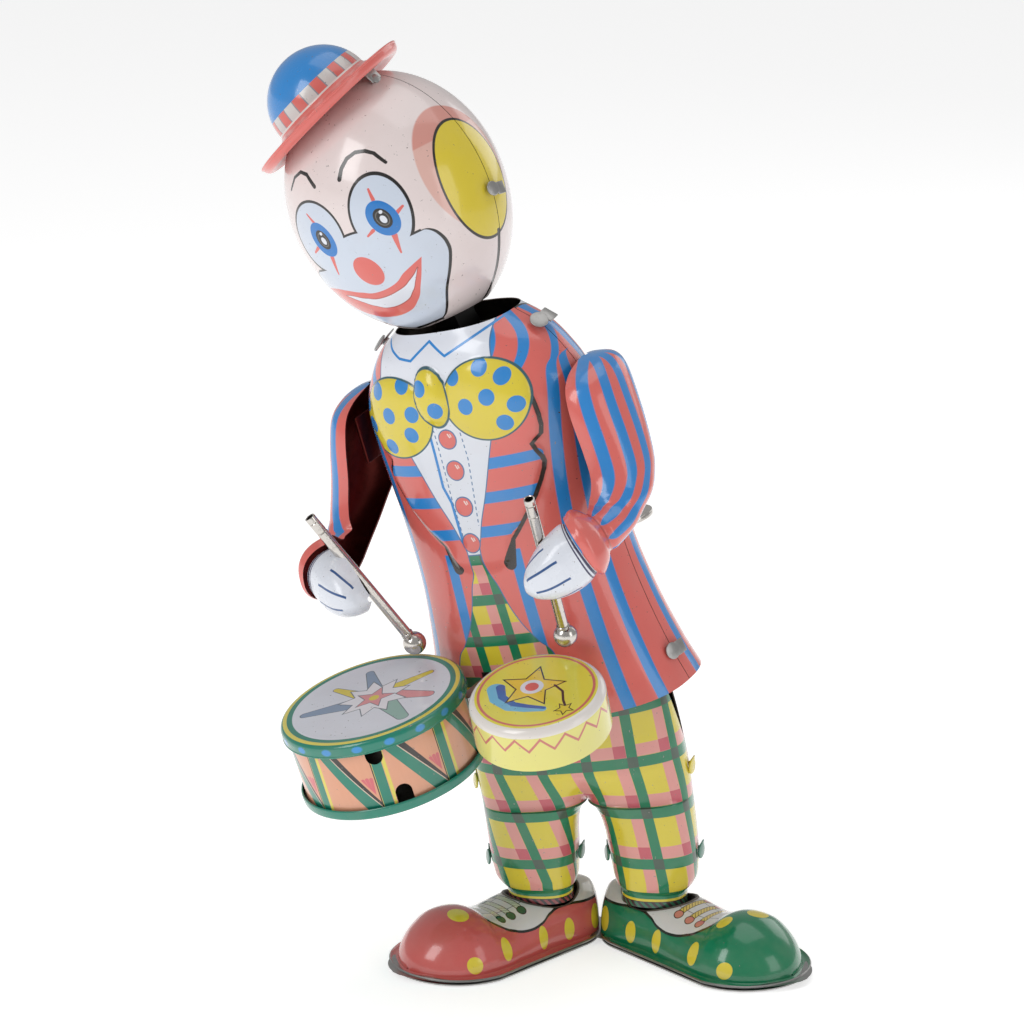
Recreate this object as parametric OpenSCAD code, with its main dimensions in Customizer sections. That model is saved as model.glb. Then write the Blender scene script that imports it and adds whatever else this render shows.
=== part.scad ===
// Wind-up tin drumming clown.
// Two splayed shoes carry leaning trousers. The coat, head, arms and drums twist as one on a pin at the waist.
// Every upper part is drawn upright in its own local frame and then placed by the pose modules.

/* [Stance] */
// Angle that the right shoe turns outwards
splay_right = 46; // [42:1:50]
// Angle that the left shoe turns outwards
splay_left = 53; // [48:1:56]
// Sideways lean of the hips towards the clown's right
hip_roll = 9; // [6:1:11]
// Sideways shift of the waist towards the clown's right
hip_shift = 8; // [6:0.5:9]
// Height of the waist pin above the floor
waist_z = 66; // [65:0.5:67]
// Twist of the upper body away from straight ahead
waist_twist = 26; // [24:1:28]
// Sway of the upper body towards the clown's right
waist_sway = 13; // [10:1:14]
// Forward lean of the upper body
torso_lean = 9; // [7:1:10]
// Sideways tip of the head towards the clown's right
head_tip = 11; // [8:1:12]

/* [Tin] */
// Thickness of the pressed tin
tin = 0.5; // [0.4:0.05:0.6]

/* [Head] */
// Radius of the egg-shaped head
head_r = 25.5; // [25:0.25:26]
// Height of the head
head_h = 62; // [60:1:64]

/* [Hat] */
// Radius of the hat's brim
brim_r = 21.5; // [20:0.5:23]
// Radius of the hat's crown
crown_r = 13; // [12:0.5:14]

/* [Drums] */
// Radius of the big drum's rims
big_drum_r = 22.5; // [21:0.5:23]
// Height of the big drum
big_drum_h = 20; // [18:0.5:21]
// Radius of the small drum
small_drum_r = 16; // [15:0.5:16.5]
// Height of the small drum's cap
small_drum_h = 11; // [10:0.5:12]

/* [Arms] */
// Height of the shoulder pins above the waist pin
shoulder_z = 80; // [79:0.5:81]
// Outer radius of a drumstick's rolled tube
stick_r = 1.3; // [1.2:0.05:1.4]
// Radius of a drumstick's ball
ball_r = 2.8; // [2.6:0.1:3]

/* [Motor] */
// Teeth of the great wheel
great_teeth = 44; // [44:1:44]
// Turns of the mainspring
spring_turns = 6; // [4:1:7]

/* [Hidden] */

// Centre of the whole toy's outline on the floor, moved to the origin
base_shift = [13.302, 9.804, 0];

// ---------- Shared shapes ----------

// Superellipse ring point at angle a for half axes rx, ry and exponent n
function ring_point(a, rx, ry, n) =
    [rx * sign(cos(a)) * pow(abs(cos(a)), 2 / n), ry * sign(sin(a)) * pow(abs(sin(a)), 2 / n)];

// Linear interpolation in a table of rows that start with their height
function row_at(table, z, i = 0) =
    i >= len(table) - 2 || z <= table[i + 1][0]
    ? let (s = (z - table[i][0]) / (table[i + 1][0] - table[i][0])) table[i] * (1 - s) + table[i + 1] * s
    : row_at(table, z, i + 1);

// A closed sheet between two grids of points, rows by columns
module sheet(outer, inner) {
    rows = len(outer);
    cols = len(outer[0]);
    points = concat([for (r = outer, p = r) p], [for (r = inner, p = r) p]);
    half = rows * cols;
    function at(i, j) = i * cols + j;
    faces = concat(
        [for (i = [0 : rows - 2], j = [0 : cols - 2]) each [
            [at(i, j), at(i + 1, j), at(i + 1, j + 1)], [at(i, j), at(i + 1, j + 1), at(i, j + 1)],
            [half + at(i, j), half + at(i + 1, j + 1), half + at(i + 1, j)],
            [half + at(i, j), half + at(i, j + 1), half + at(i + 1, j + 1)]]],
        [for (i = [0 : rows - 2]) each [
            [at(i, 0), half + at(i, 0), half + at(i + 1, 0)], [at(i, 0), half + at(i + 1, 0), at(i + 1, 0)],
            [at(i, cols - 1), half + at(i + 1, cols - 1), half + at(i, cols - 1)],
            [at(i, cols - 1), at(i + 1, cols - 1), half + at(i + 1, cols - 1)]]],
        [for (j = [0 : cols - 2]) each [
            [at(0, j), at(0, j + 1), half + at(0, j + 1)], [at(0, j), half + at(0, j + 1), half + at(0, j)],
            [at(rows - 1, j), half + at(rows - 1, j + 1), at(rows - 1, j + 1)],
            [at(rows - 1, j), half + at(rows - 1, j), half + at(rows - 1, j + 1)]]]);
    polyhedron(points, faces);
}

// A thin disc or rod along +Y, from y0 to y1, at x and z
module rod_y(x, z, y0, y1, r) {
    translate([x, y0, z]) rotate([-90, 0, 0]) cylinder(h = y1 - y0, r = r, $fn = 48);
}

// A rod along +X, from x0 to x1, at y and z
module rod_x(y, z, x0, x1, r) {
    translate([x0, y, z]) rotate([0, 90, 0]) cylinder(h = x1 - x0, r = r, $fn = 48);
}

// ---------- Pose frames ----------

module ground() {
    translate(base_shift) children();
}

// Waist frame: origin on the waist pin, which points along Y
module waist() {
    ground() translate([-hip_shift, 0, waist_z]) rotate(-waist_twist) children();
}

pin_up = 6;

// Upper body frame: the waist pin crosses it at height pin_up, +Z is up the body and the front is towards -Y
module torso() {
    waist() rotate([0, -waist_sway, 0]) rotate([torso_lean, 0, 0]) translate([0, 0, -pin_up]) children();
}

neck_z = 93;

// Head frame: origin on the neck pin
module head() {
    torso() translate([0, 0, neck_z]) rotate([0, -head_tip, 0]) children();
}

// ---------- Trousers ----------

leg_x = 14;
cuff_z = 11.4;
crotch_z = 37;
notch_z = 50;
rim_z = 71;
notch_angle = 24;

// Height, half width, front depth, back depth
hip_rows = [
    [crotch_z, 25.4, 11.5, 12.5], [42, 25.6, 12.6, 14], [50, 25.2, 13.2, 15], [60, 24.4, 13, 15], [rim_z, 23.4, 12.4, 14.4]];
// Height, inner edge, outer edge, front depth, back depth
leg_rows = [
    [cuff_z, 5.8, 22, 8.2, 8.2], [14.6, 6, 21.8, 8, 8], [15.4, 5, 23.2, 9, 9], [17.5, 4.3, 24.6, 9.8, 10],
    [22, 3.8, 25.3, 10.6, 10.8], [29, 3, 25.4, 11, 11.6], [33, 2, 25.4, 11.2, 12],
    [36, 0.6, 25.4, 11.3, 12.3], [crotch_z + 1, 0, 25.4, 11.3, 12.3]];

// Leans the trousers: the rows tip and shift more and more towards the waist
function lean(p) =
    let (s = max(0, (p.z - cuff_z) / (waist_z - cuff_z)))
    [p.x - hip_shift * pow(s, 1.5), p.y, p.z + p.x * tan(hip_roll * min(1, s))];

// One grid of a hip half: above the side notch its edges draw back from the seam
function hip_grid(side, inset, cols) = [for (i = [0 : 9])
    let (z = crotch_z + i * (rim_z - crotch_z) / 9, r = row_at(hip_rows, z),
         edge = notch_angle * max(0, (z - notch_z) / (rim_z - notch_z)))
    [for (j = [0 : cols])
        let (a = edge + (180 - 2 * edge) * j / cols,
             p = ring_point(side * a, r[1] - inset, (side < 0 ? r[2] : r[3]) - inset, 2.6))
        lean([p.x, p.y, z])]];

// One grid of a leg half: leg is -1 for the clown's right and 1 for its left
function leg_grid(side, leg, inset, cols) = [for (r = leg_rows)
    [for (j = [0 : cols])
        let (mid = (r[1] + r[2]) / 2, p = ring_point(side * 180 * j / cols, (r[2] - r[1]) / 2 - inset,
             (side < 0 ? r[3] : r[4]) - inset, 2.4))
        lean([leg * mid + p.x, p.y, r[0]])]];

// Mirrors a grid onto the front side, so that one face order serves both halves
function flip_y(grid, side) = side < 0 ? grid : [for (r = grid) [for (p = r) [p.x, -p.y, p.z]]];

module half_sheet(side, outer, inner) {
    mirror([0, side < 0 ? 0 : 1, 0]) sheet(flip_y(outer, side), flip_y(inner, side));
}

module trouser_half(side) {
    half_sheet(side, hip_grid(side, 0, 20), hip_grid(side, tin, 20));
    for (leg = [-1, 1]) half_sheet(side, leg_grid(side, leg, 0, 14), leg_grid(side, leg, tin, 14));
}

module trousers_front() {
    color("gold") ground() trouser_half(-1);
}

module trousers_back() {
    color("gold") ground() trouser_half(1);
}

// Folded ears across the trouser seams: height, leg side, and outer (1) or inner (-1) edge
module trouser_tabs() {
    ear_places = [[43, 1, 1], [43, -1, 1], [23, 1, 1], [22, -1, 1], [23, 1, -1], [23, -1, -1]];
    color("goldenrod") ground() for (e = ear_places) {
        r = e[0] > crotch_z ? row_at(hip_rows, e[0]) : row_at(leg_rows, e[0]);
        edge = e[0] > crotch_z ? r[1] : e[2] > 0 ? r[2] : r[1];
        p = lean([e[1] * edge, 0, e[0]]);
        translate([p.x + e[1] * e[2] * (tin / 2 + 0.4), 0, p.z]) cube([tin, 4, 3.4], center = true);
    }
}

// ---------- Shoes ----------

shoe_floor = 0.6;
// Along the shoe from the ankle: half width of the foot, height of its top, and height of the shoulder
shoe_rows = [
    [-15.4, 0.6, 10.4, 2.6], [-15, 3.2, 11, 2.6], [-13.6, 6.2, 11.8, 2.6], [-11, 8.6, 12.3, 2.6], [-6, 10, 12.6, 2.6],
    [4, 10.6, 12.2, 2.6], [9, 11.6, 11.4, 2.4], [15, 12.4, 10.2, 2.2], [19, 13.2, 10.6, 2.1], [24, 13.8, 12.6, 2.1],
    [29, 13.6, 12.6, 2.1], [33, 12.2, 11, 2], [36, 10, 9, 2], [38.4, 7.2, 6.6, 2], [40, 4, 4, 2], [40.8, 0.7, 1.2, 2]];
shoe_mid = 13;
left_foot_out = 1.2;
shoe_flange = 2.6;

module shoe_frame(leg) {
    ground() translate([leg < 0 ? -leg_x : leg_x + left_foot_out, 0, 0])
        rotate(-90 + (leg < 0 ? -splay_right : splay_left)) children();
}

// Outline of the sole: heel and toe arcs joined by straight sides
module sole_outline(grow = 0) {
    hull() {
        translate([-3, 0]) circle(r = 12.1 + grow, $fn = 64);
        translate([25.5, 0]) circle(r = 16.5 + grow, $fn = 64);
    }
}

module sole(leg) {
    color("silver") shoe_frame(leg) linear_extrude(shoe_floor) sole_outline();
}

function shoe_grid(inset) = [for (r = shoe_rows)
    [for (j = [0 : 16])
        let (p = ring_point(180 * j / 16, r[1] - inset, r[2] - inset, r[3]))
        [shoe_mid + (r[0] - shoe_mid) * (1 - inset / 28), p.x, shoe_floor + 0.35 + p.y]]];

module shoe(leg, tint) {
    color(tint) shoe_frame(leg) {
        // flange that rests on the sole
        difference() {
            translate([0, 0, shoe_floor]) linear_extrude(tin) sole_outline(-0.3);
            translate([0, 0, shoe_floor - 1]) linear_extrude(tin + 2) sole_outline(-shoe_flange - 1);
        }
        difference() {
            sheet(shoe_grid(0), shoe_grid(tin));
            translate([0, 0, cuff_z - 0.6]) cylinder(h = 10, r = 9.7, $fn = 48);
        }
    }
}

// ---------- Waist ----------

pin_r = 1.5;

// Bent strap across the trousers whose two ears hold the waist pin
module waist_crossbar() {
    color("gainsboro") waist() difference() {
        union() {
            translate([-9, -9.2, -8]) cube([18, 18.4, 0.8]);
            for (y = [-9.2, 8.4]) translate([-4, y, -8]) cube([8, 0.8, 11]);
        }
        rod_y(0, 0, -12, 12, pin_r);
    }
}

module waist_pin() {
    color("silver") waist() {
        rod_y(0, 0, -9.6, 9.6, pin_r);
        for (y = [-10.4, 9.6]) rod_y(0, 0, y, y + 0.8, 2.6);
    }
}

deck_z = 15;
deck_x = 9.5;

// Yoke that hangs the motor on the waist pin: two ears on the pin, a deck and two straps up the motor plates
module hip_plate() {
    color("gainsboro") difference() {
        union() {
            waist() rotate([0, -waist_sway, 0]) {
                translate([-4.5, -7.9, -3.4]) cube([9, 0.8, 11.6]);
                translate([-4.5, 7.1, -3.4]) cube([9, 0.8, 14]);
            }
            torso() {
                translate([-deck_x, front_plate_y - 0.9, deck_z]) cube([2 * deck_x, 21.4, 0.8]);
                translate([-8, front_plate_y - 0.9, deck_z]) cube([16, 0.8, 11]);
                translate([-8, back_plate_y + plate_t + 0.1, deck_z]) cube([16, 0.8, 11]);
            }
        }
        waist() rod_y(0, 0, -12, 12, pin_r + 0.05);
    }
}

// ---------- Coat ----------

// Height, half width, front depth, back depth
coat_rows = [
    [4, 34, 21, 22], [12, 31.6, 20.8, 20.5], [25, 28.8, 20.3, 18.5], [40, 27, 19.6, 17], [56, 27.6, 18.5, 16],
    [72, 29, 17.4, 15.5], [82, 28.6, 17.2, 15], [89, 25.6, 16.6, 14], [95, 21.2, 15.2, 12.6], [99.5, 15.4, 12.6, 10.6]];
coat_levels = [4, 8, 12, 18, 25, 32, 40, 48, 56, 64, 72, 77, 82, 86, 89, 92, 95, 97.5, 99.5];

function coat_grid(side, inset) = [for (z = coat_levels)
    let (r = row_at(coat_rows, z))
    [for (j = [0 : 20])
        let (p = ring_point(side * 180 * j / 20, r[1] - inset, (side < 0 ? r[2] : r[3]) - inset, 2.5))
        [p.x, p.y, z]]];

module coat_half(side) {
    difference() {
        half_sheet(side, coat_grid(side, 0), coat_grid(side, tin));
        for (x = [-1, 1]) rod_x(0, shoulder_z, x > 0 ? 22 : -32, x > 0 ? 32 : -22, 2.6);
        if (side > 0) rod_y(great_at.x, great_at.y, 8, 30, 3);
        if (side < 0) translate([-9, -30, deck_z]) cube([18, 20, 2.6]);
    }
}

module coat_front() {
    color("salmon") torso() coat_half(-1);
}

module coat_back() {
    color("salmon") torso() coat_half(1);
}

// Ears along the coat's seam: height on the side, at the hem and on the shoulders
module coat_tabs() {
    color("silver") torso() for (side = [-1, 1]) {
        for (z = [11.5, 60]) {
            low = max(row_at(coat_rows, z - 1.7)[1], row_at(coat_rows, z + 1.7)[1]);
            translate([side * (low + tin / 2 + 0.05), 0, z]) cube([tin, 5, 3.4], center = true);
        }
        translate([side * 22.2, 0, 95.7]) rotate([0, side * 53, 0]) cube([4, 5.4, tin], center = true);
    }
}

// ---------- Motor ----------

great_at = [0, 34];
m_great = 0.6;
m_second = 0.5;
m_third = 0.4;
second_teeth = 36;
third_teeth = 30;
leaves = 10;
arbor_r = 1.5;
arbor_gap = 0.04;

function turn_to(from, angle, distance) = from + distance * [cos(angle), sin(angle)];
angle_ab = 56;
second_at = turn_to(great_at, angle_ab, m_great * (great_teeth + leaves) / 2);
angle_bc = 150;
crank_at = turn_to(second_at, angle_bc, m_second * (second_teeth + leaves) / 2);
angle_cd = 133;
governor_at = turn_to(crank_at, angle_cd, m_third * (third_teeth + leaves) / 2);

pressure = 25;
function inv(a) = tan(a) * 180 / PI - a;

// Involute gear outline with stub teeth and running backlash
module gear_outline(m, teeth, backlash = 0.09) {
    pitch = m * teeth / 2;
    base = pitch * cos(pressure);
    root = pitch - 1.05 * m;
    tip = pitch + 0.8 * m;
    low = max(base, root);
    thin = backlash / pitch * 180 / PI / 2;
    function half_angle(r) = 90 / teeth + inv(pressure) - inv(acos(min(1, base / r))) - thin;
    steps = 3;
    flank = [for (i = [0 : steps]) low + (tip - low) * i / steps];
    polygon([for (t = [0 : teeth - 1]) let (mid = 360 * t / teeth) each concat(
        [root * [cos(mid - half_angle(low)), sin(mid - half_angle(low))]],
        [for (r = flank) r * [cos(mid - half_angle(r)), sin(mid - half_angle(r))]],
        [for (i = [steps : -1 : 0]) flank[i] * [cos(mid + half_angle(flank[i])), sin(mid + half_angle(flank[i]))]],
        [root * [cos(mid + half_angle(low)), sin(mid + half_angle(low))]])]);
}

// A gear with its axis along Y, its first tooth at the given angle in the XZ plane
module gear_y(at, y0, y1, m, teeth, first, bore) {
    translate([at.x, y1, at.y]) rotate([90, 0, 0]) difference() {
        rotate(first) linear_extrude(y1 - y0) gear_outline(m, teeth);
        translate([0, 0, -1]) cylinder(h = y1 - y0 + 2, r = bore, $fn = 48);
    }
}

plate_x = 19;
plate_low = 18;
plate_high = 70;
front_plate_y = -11.4;
back_plate_y = 8.2;
plate_t = 0.8;

module motor_plate(y) {
    difference() {
        translate([-plate_x, y, plate_low]) cube([2 * plate_x, plate_t, plate_high - plate_low]);
        rod_y(great_at.x, great_at.y, y - 1, y + 2, arbor_r + arbor_gap);
        for (at = [second_at, crank_at, governor_at]) rod_y(at.x, at.y, y - 1, y + 2, 1 + arbor_gap);
        for (p = pillar_places) rod_y(p.x, p.y, y - 1, y + 2, 1);
        // lightening slots
        for (x = [-1, 1]) translate([x * 11.5 - 1.5, y - 1, 25]) cube([3, 3, 12]);
    }
}

pillar_r = 1.6;
pillar_places = [[-16, 21], [16, 21], [-16, 66], [16, 66]];

module motor_plate_front() {
    color("lightgray") torso() motor_plate(front_plate_y);
}

module motor_plate_back() {
    color("lightgray") torso() {
        motor_plate(back_plate_y);
    }
}

module motor_pillars() {
    color("silver") torso() for (p = pillar_places) {
        rod_y(p.x, p.y, front_plate_y + plate_t, back_plate_y, pillar_r);
        rod_y(p.x, p.y, front_plate_y - 0.5, front_plate_y + plate_t, 1);
        rod_y(p.x, p.y, back_plate_y, back_plate_y + plate_t + 0.5, 1);
    }
}

module mainspring() {
    turns = spring_turns;
    steps = 24 * turns;
    r0 = 2.1;
    r1 = 11.6;
    t = 0.35;
    function r_at(i) = r0 + (r1 - r0) * i / steps;
    color("dimgray") torso() translate([great_at.x, 6, great_at.y]) rotate([90, 0, 0]) linear_extrude(9.6)
        polygon(concat([for (i = [0 : steps]) r_at(i) * [cos(15 * i), sin(15 * i)]],
                       [for (i = [steps : -1 : 0]) (r_at(i) + t) * [cos(15 * i), sin(15 * i)]]));
}

module winding_arbor() {
    color("silver") torso() rod_y(great_at.x, great_at.y, front_plate_y - 0.6, 24, arbor_r);
}

module great_wheel() {
    color("goldenrod") torso() gear_y(great_at, -6.6, -5.4, m_great, great_teeth, angle_ab, arbor_r);
}

module ratchet_wheel() {
    color("silver") torso() translate([great_at.x, -4.1, great_at.y]) rotate([90, 0, 0]) difference() {
        linear_extrude(1.2) polygon([for (t = [0 : 11]) each [
            4.6 * [cos(30 * t), sin(30 * t)], 3.4 * [cos(30 * t + 3), sin(30 * t + 3)]]]);
        translate([0, 0, -1]) cylinder(h = 4, r = arbor_r, $fn = 48);
    }
}

module click() {
    color("silver") torso() {
        translate([great_at.x, -4.2, great_at.y]) rotate([90, 0, 0]) linear_extrude(1)
            polygon([[8.8, -1.2], [10, 0.2], [8.8, 1.8], [4.3, 1.6], [4.1, 0.6], [7.2, 0]]);
        rod_y(great_at.x + 8.6, great_at.y + 0.2, -5.4, -4, 0.5);
    }
}

// Folded tin key: a barrel and a bow with two finger holes
module key() {
    color("silver") torso() {
        difference() {
            union() {
                rod_y(great_at.x, great_at.y, 19.5, 29, 2.6);
                translate([great_at.x - 11.5, 27, great_at.y - 0.6]) cube([23, 3, 1.2]);
                for (x = [-1, 1]) {
                    translate([great_at.x + x * 7, 34, great_at.y - 0.6]) cylinder(h = 1.2, r = 7, $fn = 64);
                }
                translate([great_at.x - 7, 28, great_at.y - 0.6]) cube([14, 11, 1.2]);
            }
            rod_y(great_at.x, great_at.y, 19, 24, arbor_r);
            for (x = [-1, 1]) {
                translate([great_at.x + x * 7, 34, great_at.y - 2]) cylinder(h = 4, r = 3, $fn = 48);
            }
        }
    }
}

// An arbor with its pinion cut from the same bar
module pinion_arbor(at, y0, y1, pinion_y0, pinion_y1, m, first) {
    rod_y(at.x, at.y, y0, y1, 1);
    gear_y(at, pinion_y0, pinion_y1, m, leaves, first, 0.6);
}

module second_arbor() {
    color("silver") torso() pinion_arbor(second_at, front_plate_y - 0.5, back_plate_y + plate_t + 0.4, -7.4, -4.8,
        m_great, angle_ab + 180 + 180 / leaves);
}

module second_wheel() {
    color("goldenrod") torso() gear_y(second_at, -9.4, -8.4, m_second, second_teeth, angle_bc, 1);
}

module crank_arbor() {
    color("silver") torso() pinion_arbor(crank_at, front_plate_y - 0.5, 10.6, -9.9, -7.9, m_second,
        angle_bc + 180 + 180 / leaves);
}

module third_wheel() {
    color("goldenrod") torso() gear_y(crank_at, -3.8, -3, m_third, third_teeth, angle_cd, 1);
}

module crank_disc() {
    color("silver") torso() {
        difference() {
            rod_y(crank_at.x, crank_at.y, 9.8, 10.6, 6.5);
            rod_y(crank_at.x, crank_at.y, 9, 12, 1);
        }
        rod_y(crank_at.x + 4.6, crank_at.y, 10.6, 12.4, 0.8);
    }
}

module governor_arbor() {
    color("silver") torso() pinion_arbor(governor_at, front_plate_y - 0.5, back_plate_y + plate_t + 0.4, -4.4, -2.4,
        m_third, angle_cd + 180 + 180 / leaves);
}

// Weighted disc whose inertia and drag hold the motor's speed down
module governor_disc() {
    color("dimgray") torso() difference() {
        rod_y(governor_at.x, governor_at.y, 1, 4.6, 5.4);
        rod_y(governor_at.x, governor_at.y, 0, 6, 1);
    }
}

// ---------- Shoulder and neck frame ----------

shaft_r = 1.5;
ear_t = 0.8;
lever_x = 13;
lever_y = 11.2;
neck_pin_r = 1;

// Bridge on top of the motor: four ears for the shoulder pins and two posts for the neck pin
module shoulder_frame() {
    color("gainsboro") torso() difference() {
        union() {
            translate([-21, -9, plate_high]) cube([42, 17, ear_t]);
            for (x = [-20.6, -9, 9, 20.6]) translate([x - ear_t / 2, -4, plate_high]) cube([ear_t, 8, 14]);
            for (y = [-5, 5]) {
                translate([-4, y - ear_t / 2, plate_high]) cube([8, ear_t, neck_z - plate_high + 3]);
            }
        }
        rod_x(0, shoulder_z, -30, 30, shaft_r + arbor_gap);
        rod_y(0, neck_z, -10, 10, neck_pin_r + arbor_gap);
    }
}

// Bar that the crank pushes: its two uprights pull the arm levers
module lift_yoke() {
    color("silver") torso() {
        translate([-lever_x, 12.8, 63]) cube([2 * lever_x, ear_t, 3]);
        for (x = [-1, 1]) translate([x * (lever_x - 1) - 1, 12.8, 63]) cube([2, ear_t, 9.4]);
    }
}

module neck_pin() {
    color("silver") head() rod_y(0, 0, -6.4, 7.2, neck_pin_r);
}

// Cranked strap on the neck pin's rear end: its fork hangs just above the crank pin
module neck_lever() {
    color("silver") head() difference() {
        union() {
            rod_y(0, 0, 6.2, 7.2, 2.6);
            translate([-1.5, 6.2, -9]) cube([3, ear_t, 9]);
            translate([-1.5, 6.2, -9]) cube([3, lever_y - 6.2 + ear_t, ear_t]);
            translate([-1.5, lever_y, -27]) cube([3, ear_t, 18.8]);
            translate([-3.5, lever_y, -32]) cube([7, ear_t, 5.4]);
        }
        rod_y(0, 0, 5, 8, neck_pin_r);
        translate([-1.4, lever_y - 1, -33]) cube([2.8, 3, 4]);
    }
}

// ---------- Head ----------

head_low = 5.4;
head_mid = head_low + head_h * 0.52;

// Egg profile of the head: angle 0 is the crown, 180 the chin
function egg(a, inset) = let (r = head_r - inset, up = head_h * 0.48 - inset, down = head_h * 0.52 - inset)
    [r * sin(a), head_mid + (cos(a) > 0 ? up : down) * cos(a)];
neck_angle = 158;

module egg_shell() {
    rotate_extrude($fn = 96) polygon(concat(
        [for (a = [0 : 6 : neck_angle]) egg(a, 0)], [egg(neck_angle, 0), egg(neck_angle, tin)],
        [for (a = [156 : -6 : 0]) egg(a, tin)]));
}

module head_front() {
    color("mistyrose") head() intersection() {
        egg_shell();
        translate([-40, -80, -10]) cube([80, 80, 120]);
    }
}

module head_back() {
    color("mistyrose") head() intersection() {
        egg_shell();
        translate([-40, 0, -10]) cube([80, 80, 120]);
    }
}

module head_tabs() {
    color("silver") head() for (side = [-1, 1]) {
        translate([side * (head_r + tin / 2 + 0.1), 0, head_mid]) cube([tin, 5.4, 3.4], center = true);
    }
}

// Black stem between the neck posts, with the disc that the head is crimped to
module neck_stem() {
    color("dimgray") head() {
        difference() {
            union() {
                translate([-3, -4.2, -5]) cube([6, 8.4, 14]);
                translate([0, 0, 8.6]) cylinder(h = 0.8, r = 9.9, $fn = 64);
            }
            rod_y(0, 0, -10, 10, neck_pin_r);
        }
    }
}

// ---------- Hat ----------

hat_tip = 19;
hat_side = 3.2;
hat_forward = 3.5;
hat_lift = 23;

module hat_frame() {
    head() translate([-hat_side, -hat_forward, head_mid + hat_lift]) rotate([6, -hat_tip, 0]) children();
}

crown_low = 4.8;
crown_dome = 12.6;

module hat() {
    color("dodgerblue") hat_frame() rotate_extrude($fn = 96) polygon(concat(
        [[0, crown_low + crown_dome]],
        [for (a = [84 : -6 : 6]) [crown_r * cos(a), crown_low + crown_dome * sin(a)]],
        [[crown_r, crown_low], [crown_r + 0.6, 4.3], [crown_r + 2.3, 3.45], [crown_r + 4.3, 2.25], [crown_r + 5.6, 1.35],
         [brim_r - 2.1, 0.95], [brim_r - 1.3, 1.1], [brim_r - 0.5, 2.9], [brim_r, 2.9], [brim_r - 0.4, 1.6],
         [brim_r - 1.2, 0.6], [crown_r + 6.3, 0.4], [crown_r + 5.2, 0.9], [crown_r + 4, 1.8], [crown_r + 2, 3],
         [crown_r + 0.2, 3.95], [crown_r - tin, 4.6]],
        [for (a = [6 : 6 : 84]) [(crown_r - tin) * cos(a), crown_low + (crown_dome - tin) * sin(a)]],
        [[0, crown_low + crown_dome - tin]]));
}

// Tongues that hold the brim to the head: angle round the hat, low end, height
module hat_tabs() {
    color("gray") hat_frame() for (t = [[0, -1.5, 4.1], [90, 2.05, 0.7]]) {
        rotate(t[0]) translate([14.8, -2, t[1]]) cube([tin, 4, t[2]]);
    }
}

// ---------- Drums ----------

big_drum_top = [-25.4, -42.6, 22];
big_drum_tilt = [5.5, 3];
small_drum_top = [18.4, -39.9, 19.8];
small_drum_tilt = [11, 13];
rim_h = 3;

module big_drum_frame() {
    torso() translate(big_drum_top) rotate([big_drum_tilt.x, 0, 0]) rotate([0, big_drum_tilt.y, 0])
        translate([0, 0, -big_drum_h]) children();
}

module small_drum_frame() {
    torso() translate(small_drum_top) rotate([small_drum_tilt.x, 0, 0]) rotate([0, small_drum_tilt.y, 0])
        translate([0, 0, -small_drum_h]) children();
}

// Shallow cap: flat face with a rounded edge and a skirt
module drum_cap(r, h, round) {
    rotate_extrude($fn = 96) polygon(concat(
        [[0, h], [r - round, h]], [for (a = [75 : -15 : 0]) [r - round + round * cos(a), h - round + round * sin(a)]],
        [[r, 0], [r - tin, 0], [r - tin, h - round]],
        [for (a = [15 : 15 : 75]) [r - round + (round - tin) * cos(a), h - round + (round - tin) * sin(a)]],
        [[r - round, h - tin], [0, h - tin]]));
}

module big_drum_head() {
    color("teal") big_drum_frame() translate([0, 0, big_drum_h - rim_h]) drum_cap(big_drum_r, rim_h, 1.4);
}

module big_drum_shell() {
    body_r = big_drum_r - 1.1;
    color("lightsalmon") big_drum_frame() difference() {
        translate([0, 0, tin]) cylinder(h = big_drum_h - 3 * tin, r = body_r, $fn = 96);
        cylinder(h = big_drum_h, r = body_r - tin, $fn = 96);
        for (z = [rim_h + 1.1, big_drum_h - rim_h - 1.1]) for (t = [0, 180]) {
            rotate(-62 + t) rotate([0, 90, 0]) translate([-z, 0, body_r - 3]) cylinder(h = 6, r = 1.9, $fn = 32);
        }
    }
}

module big_drum_base() {
    color("teal") big_drum_frame() difference() {
        cylinder(h = 2.6, r = big_drum_r, $fn = 96);
        translate([0, 0, tin]) cylinder(h = 4, r = big_drum_r - tin, $fn = 96);
    }
}

module small_drum_cap() {
    color("khaki") small_drum_frame() drum_cap(small_drum_r, small_drum_h, 2.4);
}

module small_drum_base() {
    color("seagreen") small_drum_frame() translate([0, 0, -1.4]) difference() {
        cylinder(h = 1.3, r = small_drum_r - 2, $fn = 64);
        translate([0, 0, -1]) cylinder(h = 4, r = rivet_r, $fn = 32);
    }
}

rivet_r = 1;
strap_t = 0.8;

// Steel strap through the coat's slot: it runs under the small drum and is bent against the big drum's side
module drum_bracket() {
    color("gainsboro") difference() {
        union() {
            torso() {
                translate([-8, -22, deck_z + 0.9]) cube([16, 9.6, strap_t]);
                translate([-8, -13.2, deck_z + 0.9]) cube([16, strap_t, 7]);
            }
            small_drum_frame() translate([-4, -4, -2.3]) cube([8, 21.6, strap_t]);
            hull() {
                small_drum_frame() translate([-4, 16.8, -2.3]) cube([4, strap_t, strap_t]);
                torso() translate([3, -22, deck_z + 0.9]) cube([5, strap_t, strap_t]);
            }
            hull() {
                big_drum_frame() rotate(38) translate([big_drum_r - 1.05, -2, 8]) cube([strap_t, 4, 5]);
                torso() translate([-8, -22, deck_z + 0.9]) cube([3, strap_t, strap_t]);
            }
        }
        small_drum_frame() translate([0, 0, -4]) cylinder(h = 4, r = rivet_r + 0.05, $fn = 32);
    }
}

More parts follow.
